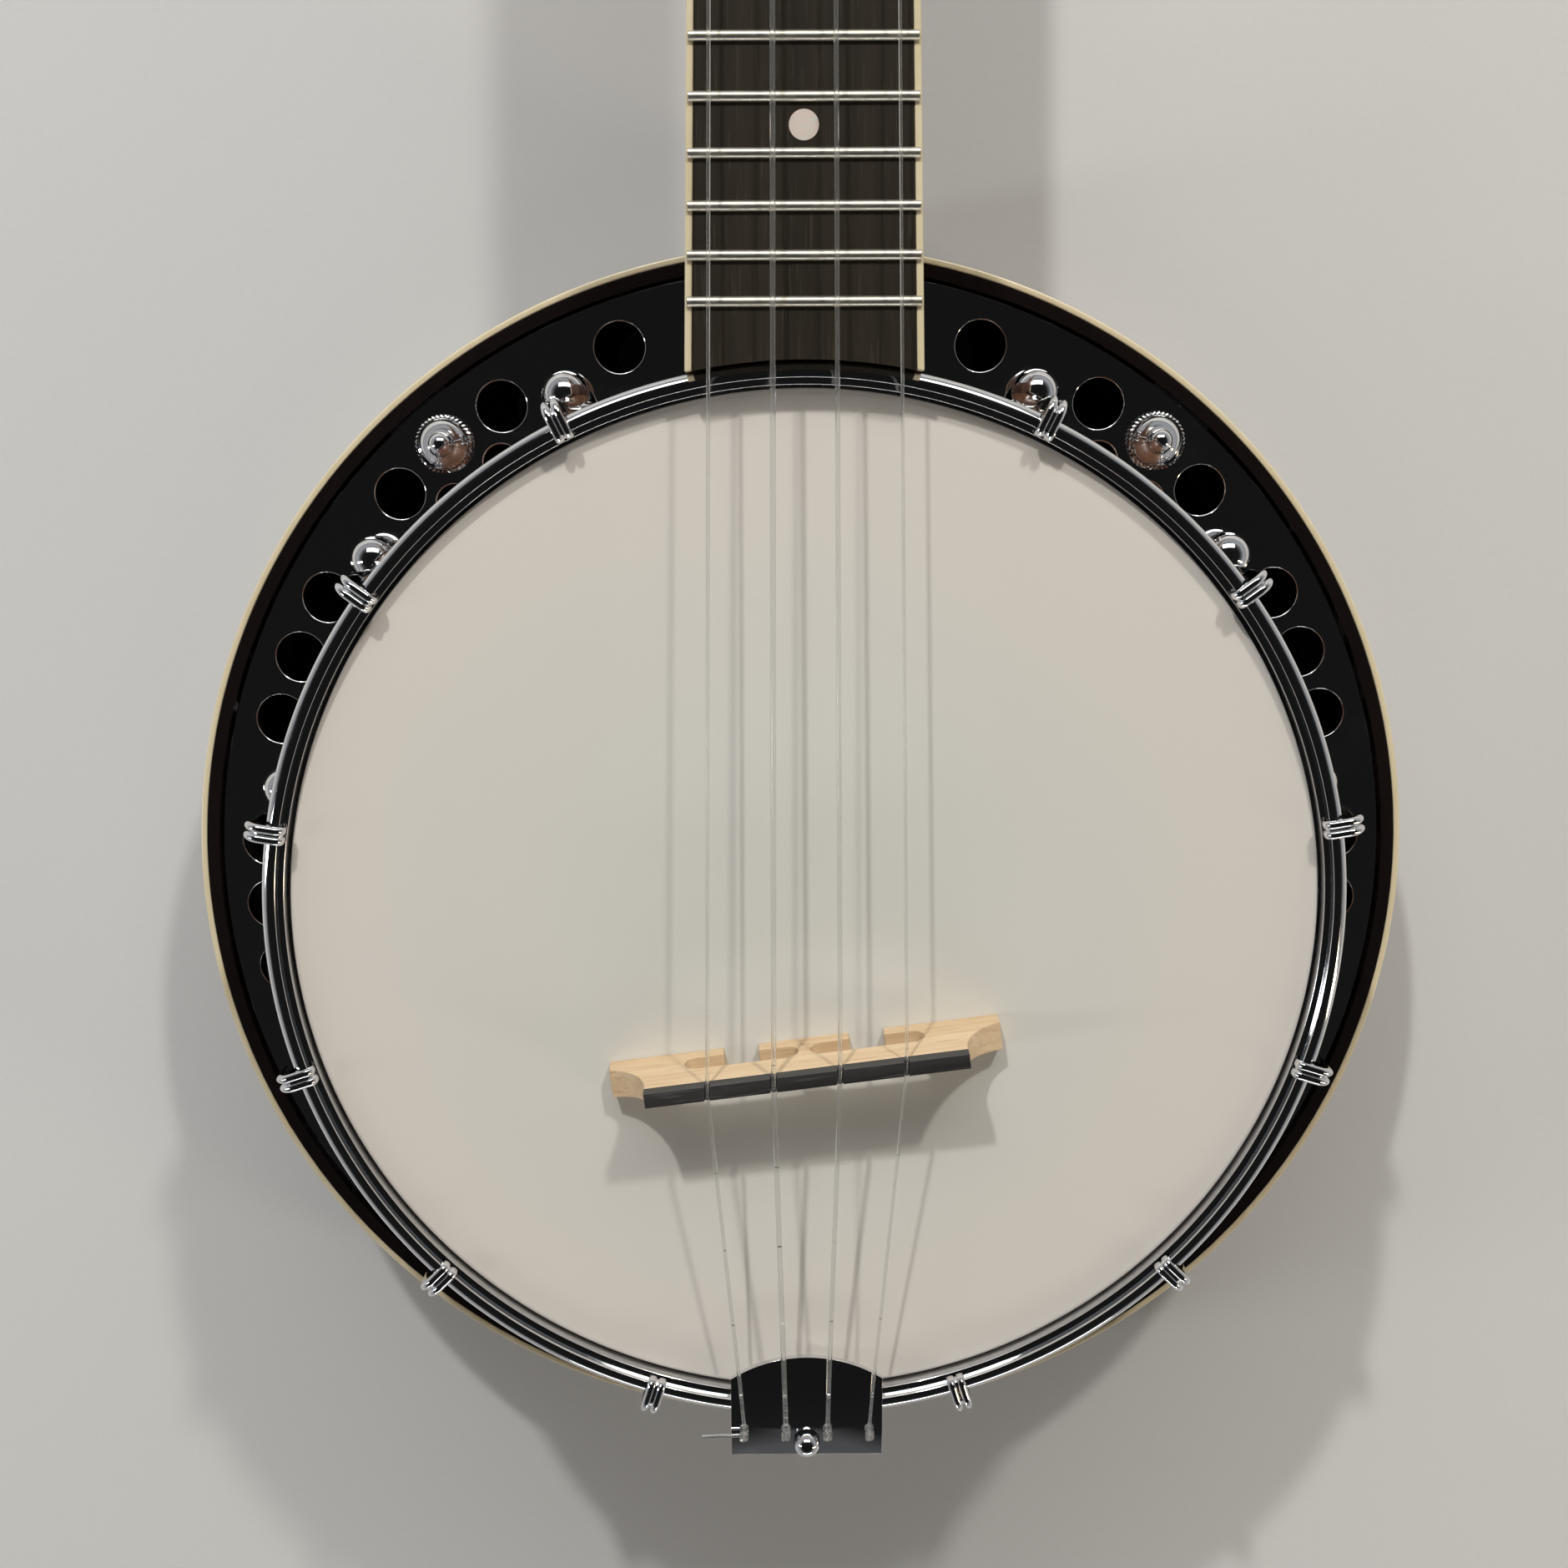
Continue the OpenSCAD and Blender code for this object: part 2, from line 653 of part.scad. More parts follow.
// Plate that anchors the strings, from its arched front lip over the hoop to its sloping ledge
module tailpiece() {
    front_drop = 0.9;
    front_arc_r = 29;
    lip = 1.4;
    color("#b9bcc1") difference() {
        intersection() {
            rotate([90, 0, 90]) translate([0, 0, -plate_w / 2]) linear_extrude(plate_w)
                polygon([[plate_front_y, plate_top - front_drop], [plate_flat_y, plate_top],
                    [fold_y, plate_top], [plate_end_y, plate_top - ledge_drop],
                    [plate_end_y - lip, plate_top - ledge_drop - 2],
                    [plate_end_y - lip + plate_t, plate_top - ledge_drop - 2.4],
                    [plate_end_y + 0.7, plate_top - ledge_drop - plate_t],
                    [fold_y + 0.4, plate_top - plate_t], [plate_flat_y, plate_top - plate_t],
                    [plate_front_y, plate_top - front_drop - plate_t]]);
            union() {
                translate([0, plate_front_y - front_arc_r, 0])
                    cylinder(h = 2 * head_z, r = front_arc_r, $fn = SMOOTH);
                translate([-plate_w / 2, plate_end_y - 5, 0]) cube([plate_w, 12, 2 * head_z]);
            }
        }
        translate([0, tension_bolt_y, head_z - 10]) cylinder(h = 20, r = tension_bolt_r + 0.3);
    }
}

// ---- Neck ----

// Round back of the neck below its flat top
module neck_shaft() {
    r_pot = (pow(board_w_pot / 2, 2) + pow(shaft_depth_pot, 2)) / (2 * shaft_depth_pot);
    r_nut = (pow(board_w_nut / 2, 2) + pow(shaft_depth_nut, 2)) / (2 * shaft_depth_nut);
    z_pot = board_z - shaft_depth_pot + r_pot;
    z_nut = board_z - shaft_depth_nut + r_nut;
    slope = atan((z_pot - z_nut) / shaft_l);
    translate([0, shaft_y, z_pot]) rotate([-90 - slope, 0, 0])
        cylinder(h = shaft_l / cos(slope), r1 = r_pot, r2 = r_nut, $fn = SMOOTH);
}

// Heel that stands against the rim, narrower at its foot
module heel() {
    foot_w = 26;
    shoulder_z = head_z - 12;
    intersection() {
        rotate([90, 0, 90]) translate([0, 0, -board_w_pot / 2]) linear_extrude(board_w_pot) difference() {
            translate([rim_r - 6, heel_bottom]) square([heel_y - rim_r + 6, board_z - heel_bottom]);
            translate([heel_y, heel_bottom]) circle(r = heel_curve_r, $fn = SMOOTH);
        }
        rotate([90, 0, 180]) linear_extrude(2 * heel_y)
            polygon([[-foot_w / 2, heel_bottom], [foot_w / 2, heel_bottom], [board_w_pot / 2, shoulder_z],
                [board_w_pot / 2, board_z], [-board_w_pot / 2, board_z], [-board_w_pot / 2, shoulder_z]]);
        linear_extrude(2 * head_z) union() {
            translate([-board_w_pot / 2, 0]) square([board_w_pot, rim_r + 4]);
            translate([0, rim_r + 4]) circle(r = board_w_pot / 2);
            translate([-board_w_pot / 2 + 2, 0]) square([board_w_pot - 4, heel_y]);
        }
    }
}

// Outline of the headstock, from behind the nut to its rounded crown
module headstock_outline(start) {
    neck_half = board_w_nut / 2;
    cheek_half = 28;
    top_half = 31;
    flare = 24;
    corner_r = 8;
    shoulder = headstock_l - 12;
    difference() {
        union() {
            polygon([[-neck_half, start], [neck_half, start], [neck_half, 4], [cheek_half, flare],
                [top_half, shoulder], [top_half - corner_r, shoulder + corner_r],
                [corner_r - top_half, shoulder + corner_r], [-top_half, shoulder],
                [-cheek_half, flare], [-neck_half, 4]]);
            for (side = [-1, 1]) translate([side * (top_half - corner_r), shoulder]) circle(r = corner_r);
            translate([0, shoulder - 6]) circle(r = 18);
        }
        for (side = [-1, 1]) translate([side * (cheek_half + 1), 5]) circle(r = 10);
    }
}

module post_holes(r) {
    for (site = tuner_sites) translate([site[0] * post_x, site[1], -headstock_t - veneer_t - 5])
        cylinder(h = headstock_t + veneer_t + 10, r = r);
}

module neck() {
    color("#4a2617") difference() {
        union() {
            neck_shaft();
            heel();
            on_headstock() translate([0, 0, -headstock_t - veneer_t])
                linear_extrude(headstock_t) headstock_outline(-8);
        }
        translate([-HALF, -HALF + shaft_end_y, board_z]) cube([PLANE, HALF, HALF]);
        on_headstock() translate([-HALF, -PLANE / 4, -veneer_t]) cube([PLANE, HALF, HALF]);
        cylinder(h = flesh_z - 1.5, r = rim_r + gap, $fn = SMOOTH);
        translate([0, 0, flesh_z - 1.6]) cylinder(h = head_z, r = board_start_r, $fn = SMOOTH);
        on_headstock() post_holes(bushing_r + gap);
        on_headstock() tuner_screw_holes();
        for (z = [rod_z, upper_lag_z]) translate([0, rim_r - 2, z]) along_y(bolt_r + gap, lag_depth + 3);
    }
}

module headstock_veneer() {
    color("#15110f") on_headstock() difference() {
        translate([0, 0, gap - veneer_t]) linear_extrude(veneer_t - gap) headstock_outline(veneer_start);
        post_holes(bushing_r + gap);
    }
}

// Plan of the fretboard between two insets from its edges, curved round the hoop
module board_plan(inset, y_end) {
    w0 = board_w(0) / 2 - inset;
    w1 = board_w(y_end) / 2 - inset;
    difference() {
        polygon([[-w0, 0], [w0, 0], [w1, y_end], [-w1, y_end]]);
        circle(r = board_start_r, $fn = SMOOTH);
    }
}

module fretboard() {
    color("#2b1d19") difference() {
        translate([0, 0, board_z + gap]) linear_extrude(board_t - gap) board_plan(edge_binding_w + gap, nut_y);
        for (p = dot_places) translate([p.x, p.y, board_top - 1.2]) cylinder(h = 2, r = dot_r + gap);
    }
}

module fretboard_bindings() {
    color("#ece2bd") translate([0, 0, board_z + gap]) linear_extrude(board_t - gap) difference() {
        board_plan(0, nut_y);
        w0 = board_w(0) / 2 - edge_binding_w;
        w1 = board_w(nut_y + 1) / 2 - edge_binding_w;
        polygon([[-w0, -1], [w0, -1], [w1, nut_y + 1], [-w1, nut_y + 1]]);
    }
}

module frets() {
    color("#cfd0c8") for (n = [1 : fret_count]) {
        l = board_w(fret_y(n)) - 0.7;
        translate([-l / 2, fret_y(n), board_top + gap / 5]) rotate([90, 0, 90]) linear_extrude(l) intersection() {
            circle(r = fret_r);
            translate([-2 * fret_r, 0]) square([4 * fret_r, 2 * fret_r]);
        }
    }
}

function between_frets(n) = (fret_y(n - 1) + fret_y(n)) / 2;
dot_places = concat([for (n = dot_frets) [0, between_frets(n)]],
    [for (side = [-1, 1]) [side * 7.5, between_frets(double_dot_fret)]]);

module position_dots() {
    color("#efe6cf") for (p = dot_places) translate([p.x, p.y, board_top - 1.1]) cylinder(h = 1.1, r = dot_r);
}

// Notch for a string at point p, across a support of thickness t
module string_notch(p, r, t) {
    side = r + 3 * gap;
    dip = r + 0.4;
    translate([p.x - side, p.y - t / 2 - 1, p.z - dip]) cube([2 * side, t + 2, dip + 3]);
}

module string_nut() {
    top = nut_rise + board_top;
    color("#f3efe2") difference() {
        translate([-board_w_nut / 2, nut_y + gap, board_z + gap])
            cube([board_w_nut, nut_w - gap, top - board_z - gap]);
        for (i = [0 : 3])
            string_notch([string_x(i, nut_spacing), nut_y + nut_w / 2, string_z_nut], string_r[i], nut_w);
    }
}

// ---- Bridge and strings ----

cap_h = 2.2;

// Puts children in the bridge's frame: x along it, y through it, z up from the head
module on_bridge() {
    translate([0, -bridge_y, head_z + gap]) rotate([0, 0, bridge_angle]) children();
}

// Wedge that thins the bridge from its feet to its crest
module bridge_wedge(z0, z1) {
    foot_t = 6.6;
    crest_t = 3;
    h = bridge_h - gap;
    t0 = foot_t + (crest_t - foot_t) * z0 / h;
    t1 = foot_t + (crest_t - foot_t) * z1 / h;
    rotate([90, 0, 90]) translate([0, 0, -bridge_base_l]) linear_extrude(2 * bridge_base_l)
        polygon([[-t0 / 2, z0], [t0 / 2, z0], [t1 / 2, z1], [-t1 / 2, z1]]);
}

// Three-footed maple bridge with scooped ends
module bridge_body() {
    end_h = 3.6;
    top = bridge_h - cap_h - gap;
    scoop_r = (bridge_base_l - bridge_top_l) / 2 + 2.4;
    arch_x = 11.6;
    foot_gap = 7;
    oval_w = 22.6;
    oval_r = 2.5;
    oval_z = 5.4;
    color("#dcc49a") on_bridge() intersection() {
        rotate([90, 0, 0]) translate([0, 0, -10]) linear_extrude(20) difference() {
            translate([-bridge_base_l / 2, 0]) square([bridge_base_l, top]);
            for (side = [-1, 1]) {
                translate([side * (bridge_base_l / 2 + 2.4), end_h + scoop_r]) circle(r = scoop_r);
                translate([side * (bridge_base_l / 2 + 2.4) - scoop_r, end_h + scoop_r]) square([2 * scoop_r, top]);
                translate([side * arch_x * 1.08 - foot_gap / 2, -1]) square([foot_gap, oval_z + 1]);
                translate([side * arch_x * 1.08, oval_z]) {
                    square([oval_w - 2 * oval_r, 2 * oval_r], center = true);
                    for (end = [-1, 1]) translate([end * (oval_w / 2 - oval_r), 0]) circle(r = oval_r);
                }
            }
        }
        bridge_wedge(0, top);
    }
}

// Ebony crest of the bridge with the string notches
module bridge_cap() {
    z0 = bridge_h - cap_h;
    color("#1d1815") difference() {
        on_bridge() intersection() {
            translate([-bridge_top_l / 2, -5, z0]) cube([bridge_top_l, 10, cap_h + 0.3]);
            bridge_wedge(z0, bridge_h + 0.25);
        }
        for (i = [0 : 3]) string_notch(bridge_point(i), string_r[i], 6);
    }
}

// A string with its knot; the first one also has a cut-off tail
module string(i) {
    route = string_route(i);
    knot_r = 1.05;
    knot = route[0];
    ahead = unit(route[1] - knot);
    bends = [for (k = [1 : len(route) - 1]) route[k]];
    color("#e6e8e6") {
        cord(concat([knot - ahead, knot - ahead / 2, knot + ahead / 2], bends),
            concat([knot_r / 2, knot_r, knot_r], [for (p = bends) string_r[i]]));
        if (i == 0) translate(knot + [-knot_r - gap, 0, -tail_drop])
            rotate([0, -90, 0]) cylinder(h = cut_tail_l, r = 0.4);
    }
}

// Turns of string i on its post
module winding(i) {
    pitch = 2 * string_r[i] + gap;
    color("#e6e8e6") on_headstock() translate([tuner_sites[i][0] * post_x, tuner_sites[i][1], wind_z])
        for (k = [1 : wind_turns]) translate([0, 0, -k * pitch])
            rotate_extrude() translate([post_r + string_r[i] + gap, 0]) circle(r = string_r[i], $fn = 16);
}

// ---- Tuners ----

bushing_r = 4.15;

// Puts children at tuner i, with +X pointing outwards from the headstock's centre line
module at_tuner(i) {
    on_headstock() translate([tuner_sites[i][0] * post_x, tuner_sites[i][1], 0])
        mirror([tuner_sites[i][0] < 0 ? 1 : 0, 0, 0]) children();
}

module tuner_bushings() {
    color("#dadde1") for (i = [0 : 3]) at_tuner(i) difference() {
        union() {
            translate([0, 0, gap]) cylinder(h = 1.3, r = 5.4);
            translate([0, 0, -7]) cylinder(h = 7 + 2 * gap, r = bushing_r);
        }
        translate([0, 0, -8]) cylinder(h = 10, r = post_r + gap);
    }
}

// Post with the gear that the worm turns
module gear_post(i) {
    color("#e3e5e8") at_tuner(i) {
        translate([0, 0, gear_z + gear_h]) cylinder(h = post_top - 1 - gear_z - gear_h, r = post_r);
        translate([0, 0, post_top - 1]) cylinder(h = 1, r1 = post_r, r2 = post_r - 0.6);
        translate([0, 0, gear_z]) difference() {
            cylinder(h = gear_h + eps, r = gear_r);
            for (t = [0 : gear_teeth - 1]) rotate([0, 0, (t + 0.5) * 360 / gear_teeth])
                translate([gear_r, 0, -eps]) cylinder(h = gear_h + 3 * eps, r = 0.42, $fn = 6);
        }
    }
}

// Worm and its shaft, which carries the button
module worm_shaft(i) {
    grooves = 4;
    pitch = 1.9;
    worm_l = 9;
    color("#c4c7ca") at_tuner(i) translate([0, worm_offset, worm_z]) rotate([0, 90, 0]) {
        translate([0, 0, -worm_l / 2]) rotate_extrude() difference() {
            square([worm_r, worm_l]);
            for (k = [0 : grooves - 1]) translate([worm_r + 0.25, (k + 0.85) * pitch]) circle(r = 0.6);
        }
        translate([0, 0, worm_l / 2 - eps]) cylinder(h = button_x - post_x + 6 - worm_l / 2, r = shaft_r);
    }
}

// Oval button on the end of the worm shaft
module button(i) {
    blade_t = 5;
    blade_r = 7.2;
    collar_r = 3;
    color("#f1eee4") at_tuner(i) translate([button_x - post_x, worm_offset, worm_z]) rotate([0, 90, 0]) difference() {
        union() {
            cylinder(h = 3.4, r1 = collar_r, r2 = collar_r - 0.4);
            intersection() {
                translate([-blade_t / 2, -blade_r, 2.4]) cube([blade_t, 2 * blade_r, button_l - 2.4]);
                translate([-blade_t / 2, 0, 2.4 + blade_r]) rotate([0, 90, 0])
                    cylinder(h = blade_t, r = blade_r, $fn = 96);
            }
        }
        translate([0, 0, -1]) cylinder(h = 7.1, r = shaft_r + 0.01);
    }
}

// Base plates between the headstock's back and the housings
module tuner_base_plates() {
    ear = 5;
    color("#c9ccd1") for (i = [0 : 3]) at_tuner(i) difference() {
        translate([-housing_x, housing_y0 - ear, back_face - base_plate_t])
            cube([2 * housing_x, housing_y1 - housing_y0 + 2 * ear, base_plate_t]);
        translate([0, 0, back_face - 2]) cylinder(h = 3, r = post_r + gap);
        tuner_screw_bores(back_face - 2, 3);
    }
}

tuner_screw_y = [housing_y0 - 2.5, housing_y1 + 2.5];
tuner_screw_r = 1;

module tuner_screw_bores(z, h) {
    for (y = tuner_screw_y) translate([0, y, z]) cylinder(h = h, r = tuner_screw_r + gap);
}

module tuner_screw_holes() {
    for (site = tuner_sites) translate([site[0] * post_x, site[1], 0])
        tuner_screw_bores(back_face - 1, 9);
}

// Covers over the gears, open towards the base plates
module tuner_housings() {
    wall = 1;
    foot_z = back_face - base_plate_t - gap - housing_h;
    color("#dadde1") for (i = [0 : 3]) at_tuner(i) translate([0, 0, foot_z]) difference() {
        translate([-housing_x, housing_y0, 0])
            cube([2 * housing_x, housing_y1 - housing_y0, housing_h]);
        translate([wall - housing_x, housing_y0 + wall, wall])
            cube([2 * (housing_x - wall), housing_y1 - housing_y0 - 2 * wall, housing_h]);
        translate([0, worm_offset, worm_z - foot_z]) rotate([0, 90, 0])
            cylinder(h = housing_x + 1, r = shaft_r + gap);
    }
}

module tuner_screws() {
    color("#d8dadd") for (i = [0 : 3]) at_tuner(i) for (y = tuner_screw_y)
        translate([0, y, back_face - base_plate_t - gap]) {
            cylinder(h = 8, r = tuner_screw_r);
            translate([0, 0, -1.1]) cylinder(h = 1.1, r = 1.9);
        }
}

resonator_back();
resonator_wall();
resonator_bindings();
resonator_brackets();
bracket_screws();
thumbscrew(0);  // thumbscrew_1
thumbscrew(1);  // thumbscrew_2
thumbscrew(2);  // thumbscrew_3
thumbscrew(3);  // thumbscrew_4
flange();
wood_rim();
tone_ring();
head_film();
flesh_hoop();
tension_hoop();
hooks();
hook_nuts();
bracket_shoes();
shoe_bolts();
coordinator_rod();
neck_lag_bolts();
lag_nut();
tail_bolt();
neck();
headstock_veneer();
fretboard();
fretboard_bindings();
frets();
position_dots();
string_nut();
tailpiece();
tail_bracket();
tension_bolt();
tail_nut();
bridge_body();
bridge_cap();
string(0);  // string_1
string(1);  // string_2
string(2);  // string_3
string(3);  // string_4
winding(0);  // winding_1
winding(1);  // winding_2
winding(2);  // winding_3
winding(3);  // winding_4
gear_post(0);  // gear_post_1
gear_post(1);  // gear_post_2
gear_post(2);  // gear_post_3
gear_post(3);  // gear_post_4
worm_shaft(0);  // worm_shaft_1
worm_shaft(1);  // worm_shaft_2
worm_shaft(2);  // worm_shaft_3
worm_shaft(3);  // worm_shaft_4
button(0);  // button_1
button(1);  // button_2
button(2);  // button_3
button(3);  // button_4
tuner_housings();
tuner_base_plates();
tuner_bushings();
tuner_screws();
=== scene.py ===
"""Looks of a banjo-ukulele with a closed resonator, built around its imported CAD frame.

The instrument lies on its back: +Z is up out of the head and +Y runs to the headstock. Sizes in the
classes below are in millimetres, and a finished piece is scaled to metres when it is published.
"""

import json
import logging
import math
from dataclasses import dataclass
from enum import Enum
from typing import Iterable, Sequence, Union

import bmesh
import bpy
from mathutils import Matrix, Vector

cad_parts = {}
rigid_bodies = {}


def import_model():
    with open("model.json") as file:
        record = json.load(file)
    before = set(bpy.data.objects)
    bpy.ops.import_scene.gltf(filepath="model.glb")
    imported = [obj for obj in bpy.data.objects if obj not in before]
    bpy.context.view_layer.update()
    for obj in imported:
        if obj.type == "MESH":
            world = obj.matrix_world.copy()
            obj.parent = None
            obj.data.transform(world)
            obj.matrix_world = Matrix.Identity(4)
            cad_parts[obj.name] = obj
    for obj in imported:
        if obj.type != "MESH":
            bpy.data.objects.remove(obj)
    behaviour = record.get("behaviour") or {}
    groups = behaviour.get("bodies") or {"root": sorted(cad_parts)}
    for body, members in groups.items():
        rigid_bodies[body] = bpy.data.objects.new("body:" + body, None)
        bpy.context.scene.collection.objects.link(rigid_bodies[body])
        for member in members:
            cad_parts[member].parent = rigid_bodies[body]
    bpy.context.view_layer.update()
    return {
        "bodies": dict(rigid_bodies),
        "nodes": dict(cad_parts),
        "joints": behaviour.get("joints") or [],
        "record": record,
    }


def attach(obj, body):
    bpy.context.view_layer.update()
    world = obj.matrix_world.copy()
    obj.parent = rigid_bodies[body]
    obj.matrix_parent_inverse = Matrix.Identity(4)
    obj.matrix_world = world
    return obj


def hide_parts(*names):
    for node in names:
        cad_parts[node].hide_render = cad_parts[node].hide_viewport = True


LOG = logging.getLogger("banjo_ukulele")
MM = 0.001
ROOT = "instrument"
MERGE_DISTANCE = 2e-4
FLAT_ANGLE = math.radians(0.4)
Point = tuple[float, float]
Shape = bmesh.types.BMesh
Socket = bpy.types.NodeSocket


# ---- Shader building ----


class Signal:
    """A shader socket that takes part in Python arithmetic."""

    def __init__(self, tree: "Tree", socket: Socket) -> None:
        """Keeps the socket and the tree that it belongs to."""
        self.tree = tree
        self.socket = socket

    def _math(self, operation: str, left: "Value", right: "Value" = 0.0) -> "Signal":
        """Adds one Math node.

        Args:
            operation: the Math node's operation.
            left: its first value.
            right: its second value.

        Returns:
            The node's result.
        """
        node = self.tree.node("ShaderNodeMath", {"operation": operation}, {0: left, 1: right})
        return Signal(self.tree, node.outputs[0])

    def __add__(self, other: "Value") -> "Signal":
        """Sum of two values."""
        return self._math("ADD", self, other)

    def __sub__(self, other: "Value") -> "Signal":
        """Difference of two values."""
        return self._math("SUBTRACT", self, other)

    def __rsub__(self, other: "Value") -> "Signal":
        """Difference with the value on the right."""
        return self._math("SUBTRACT", other, self)

    def __mul__(self, other: "Value") -> "Signal":
        """Product of two values."""
        return self._math("MULTIPLY", self, other)

    def __pow__(self, other: "Value") -> "Signal":
        """Power of a value."""
        return self._math("POWER", self, other)

    def between(self, low: float, high: float) -> "Signal":
        """Smooth step of the value.

        Args:
            low: the value that gives 0.
            high: the value that gives 1.

        Returns:
            A value from 0 to 1.
        """
        settings = {"interpolation_type": "SMOOTHSTEP"}
        node = self.tree.node(
            "ShaderNodeMapRange", settings, {"Value": self, "From Min": low, "From Max": high}
        )
        return Signal(self.tree, node.outputs[0])


Value = Union[float, tuple, Signal, Socket]
Colour = tuple[float, float, float]


class Tree:
    """The node tree of one material with a Principled shader."""

    def __init__(self, name: str) -> None:
        """Makes an empty material of that name."""
        self.material = bpy.data.materials.new(name)
        self.material.use_nodes = True
        self.nodes = self.material.node_tree.nodes
        self.links = self.material.node_tree.links
        self.shader = self.nodes["Principled BSDF"]
        self.coordinates = self.node("ShaderNodeTexCoord").outputs["Object"]

    def node(self, kind: str, settings: dict | None = None, values: dict | None = None):
        """Adds one node.

        Args:
            kind: the node's type.
            settings: the node's own settings, and the stops of a ramp.
            values: values, signals or sockets for its inputs, by name or index.

        Returns:
            The new node.
        """
        made = self.nodes.new(kind)
        for key, setting in (settings or {}).items():
            if key == "stops":
                self.set_stops(made.color_ramp, setting)
            else:
                setattr(made, key, setting)
        for key, value in (values or {}).items():
            self._feed(made.inputs[key], value)
        return made

    @staticmethod
    def set_stops(ramp: bpy.types.ColorRamp, stops: Sequence[tuple[float, Colour]]) -> None:
        """Sets the stops of a colour ramp from (place, colour) pairs."""
        while len(ramp.elements) < len(stops):
            ramp.elements.new(0.5)
        for element, (position, colour) in zip(ramp.elements, stops):
            element.position = position
            element.color = (*colour, 1.0)

    def _feed(self, socket: Socket, value: Value) -> None:
        """Links a signal or socket to an input, or sets its plain value."""
        if isinstance(value, Signal):
            self.links.new(value.socket, socket)
        elif isinstance(value, Socket):
            self.links.new(value, socket)
        elif isinstance(value, tuple) and socket.type == "RGBA":
            socket.default_value = (*value, 1.0)
        else:
            socket.default_value = value

    def stretched(self, scale: Sequence[float], turn: float = 0.0) -> Socket:
        """Object coordinates multiplied along each axis.

        Args:
            scale: the factors along X, Y and Z.
            turn: a turn about Z before that, in degrees.

        Returns:
            The vector socket.
        """
        turned = self.node(
            "ShaderNodeMapping",
            {"vector_type": "POINT"},
            {"Vector": self.coordinates, "Rotation": (0.0, 0.0, math.radians(turn))},
        )
        scaled = self.node(
            "ShaderNodeVectorMath",
            {"operation": "MULTIPLY"},
            {0: turned.outputs[0], 1: tuple(scale)},
        )
        return scaled.outputs[0]

    def noise(
        self,
        scale: float,
        vector: Socket | None = None,
        detail: float = 3.0,
        distortion: float = 0.0,
    ) -> Signal:
        """A noise pattern.

        Args:
            scale: its frequency per metre, or per unit of the vector.
            vector: where it is read, or None for object coordinates.
            detail: its octaves.
            distortion: how far it is warped.

        Returns:
            A value about 0.5.
        """
        values = {
            "Vector": vector or self.coordinates,
            "Scale": scale,
            "Detail": detail,
            "Distortion": distortion,
        }
        return Signal(self, self.node("ShaderNodeTexNoise", {}, values).outputs["Fac"])

    def axes(self) -> tuple[Signal, Signal, Signal]:
        """Object coordinates as three values in metres."""
        split = self.node("ShaderNodeSeparateXYZ", {}, {0: self.coordinates})
        return tuple(Signal(self, out) for out in split.outputs)

    def mix(self, factor: Value, first: Value, second: Value) -> Signal:
        """A mix of two colours.

        Args:
            factor: the share of the second.
            first: a colour.
            second: a colour.

        Returns:
            The mixed colour.
        """
        settings = {"data_type": "RGBA", "clamp_factor": True}
        first_colour, second_colour = 6, 7
        values = {0: factor, first_colour: first, second_colour: second}
        node = self.node("ShaderNodeMix", settings, values)
        return Signal(self, node.outputs[2])

    def ramp(self, value: Value, stops: Sequence[tuple[float, Colour]]) -> Signal:
        """A colour looked up on a ramp of (place, colour) stops."""
        node = self.node("ShaderNodeValToRGB", {"stops": stops}, {0: value})
        return Signal(self, node.outputs[0])

    def bump(self, height: Signal, depth: float) -> None:
        """Raises the surface by a height pattern.

        Args:
            height: the pattern, 0 to 1.
            depth: the depth of a step from 0 to 1, in millimetres.
        """
        values = {"Height": height, "Distance": depth * MM, "Strength": 1.0}
        made = self.node("ShaderNodeBump", {}, values)
        self.links.new(made.outputs[0], self.shader.inputs["Normal"])

    def set(self, **values: Value) -> None:
        """Sets inputs of the Principled shader, named with underscores for spaces."""
        for key, value in values.items():
            self._feed(self.shader.inputs[key.replace("_", " ")], value)


# ---- Finishes ----


@dataclass(frozen=True)
class Finish:
    """A surface finish; each kind fills a tree in its own way."""

    name: str

    def dress(self, tree: Tree) -> None:
        """Fills the material's tree."""
        raise NotImplementedError

    def material(self) -> bpy.types.Material:
        """The finish as a material, made once."""
        found = bpy.data.materials.get(self.name)
        if found is None:
            tree = Tree(self.name)
            self.dress(tree)
            found = tree.material
        return found


@dataclass(frozen=True)
class Plating(Finish):
    """Polished or dull metal plating with wipe marks and fine scratches."""

    tint: Colour = (0.80, 0.81, 0.83)
    gloss: float = 0.045
    smears: float = 0.10
    scratch: float = 0.004

    def dress(self, tree: Tree) -> None:
        """Mirror metal that is a little duller where it has been handled."""
        cloud = tree.noise(55.0, detail=4.0).between(0.45, 0.75)
        lines = tree.noise(1.0, tree.stretched((900.0, 70.0, 900.0), 31.0), detail=2.0)
        fine = lines.between(0.60, 0.78)
        darker = tuple(channel * 0.86 for channel in self.tint)
        tree.set(
            Base_Color=tree.mix(cloud * 0.6, self.tint, darker),
            Metallic=1.0,
            Roughness=cloud * self.smears + fine * 0.05 + self.gloss,
        )
        tree.bump(lines, self.scratch)


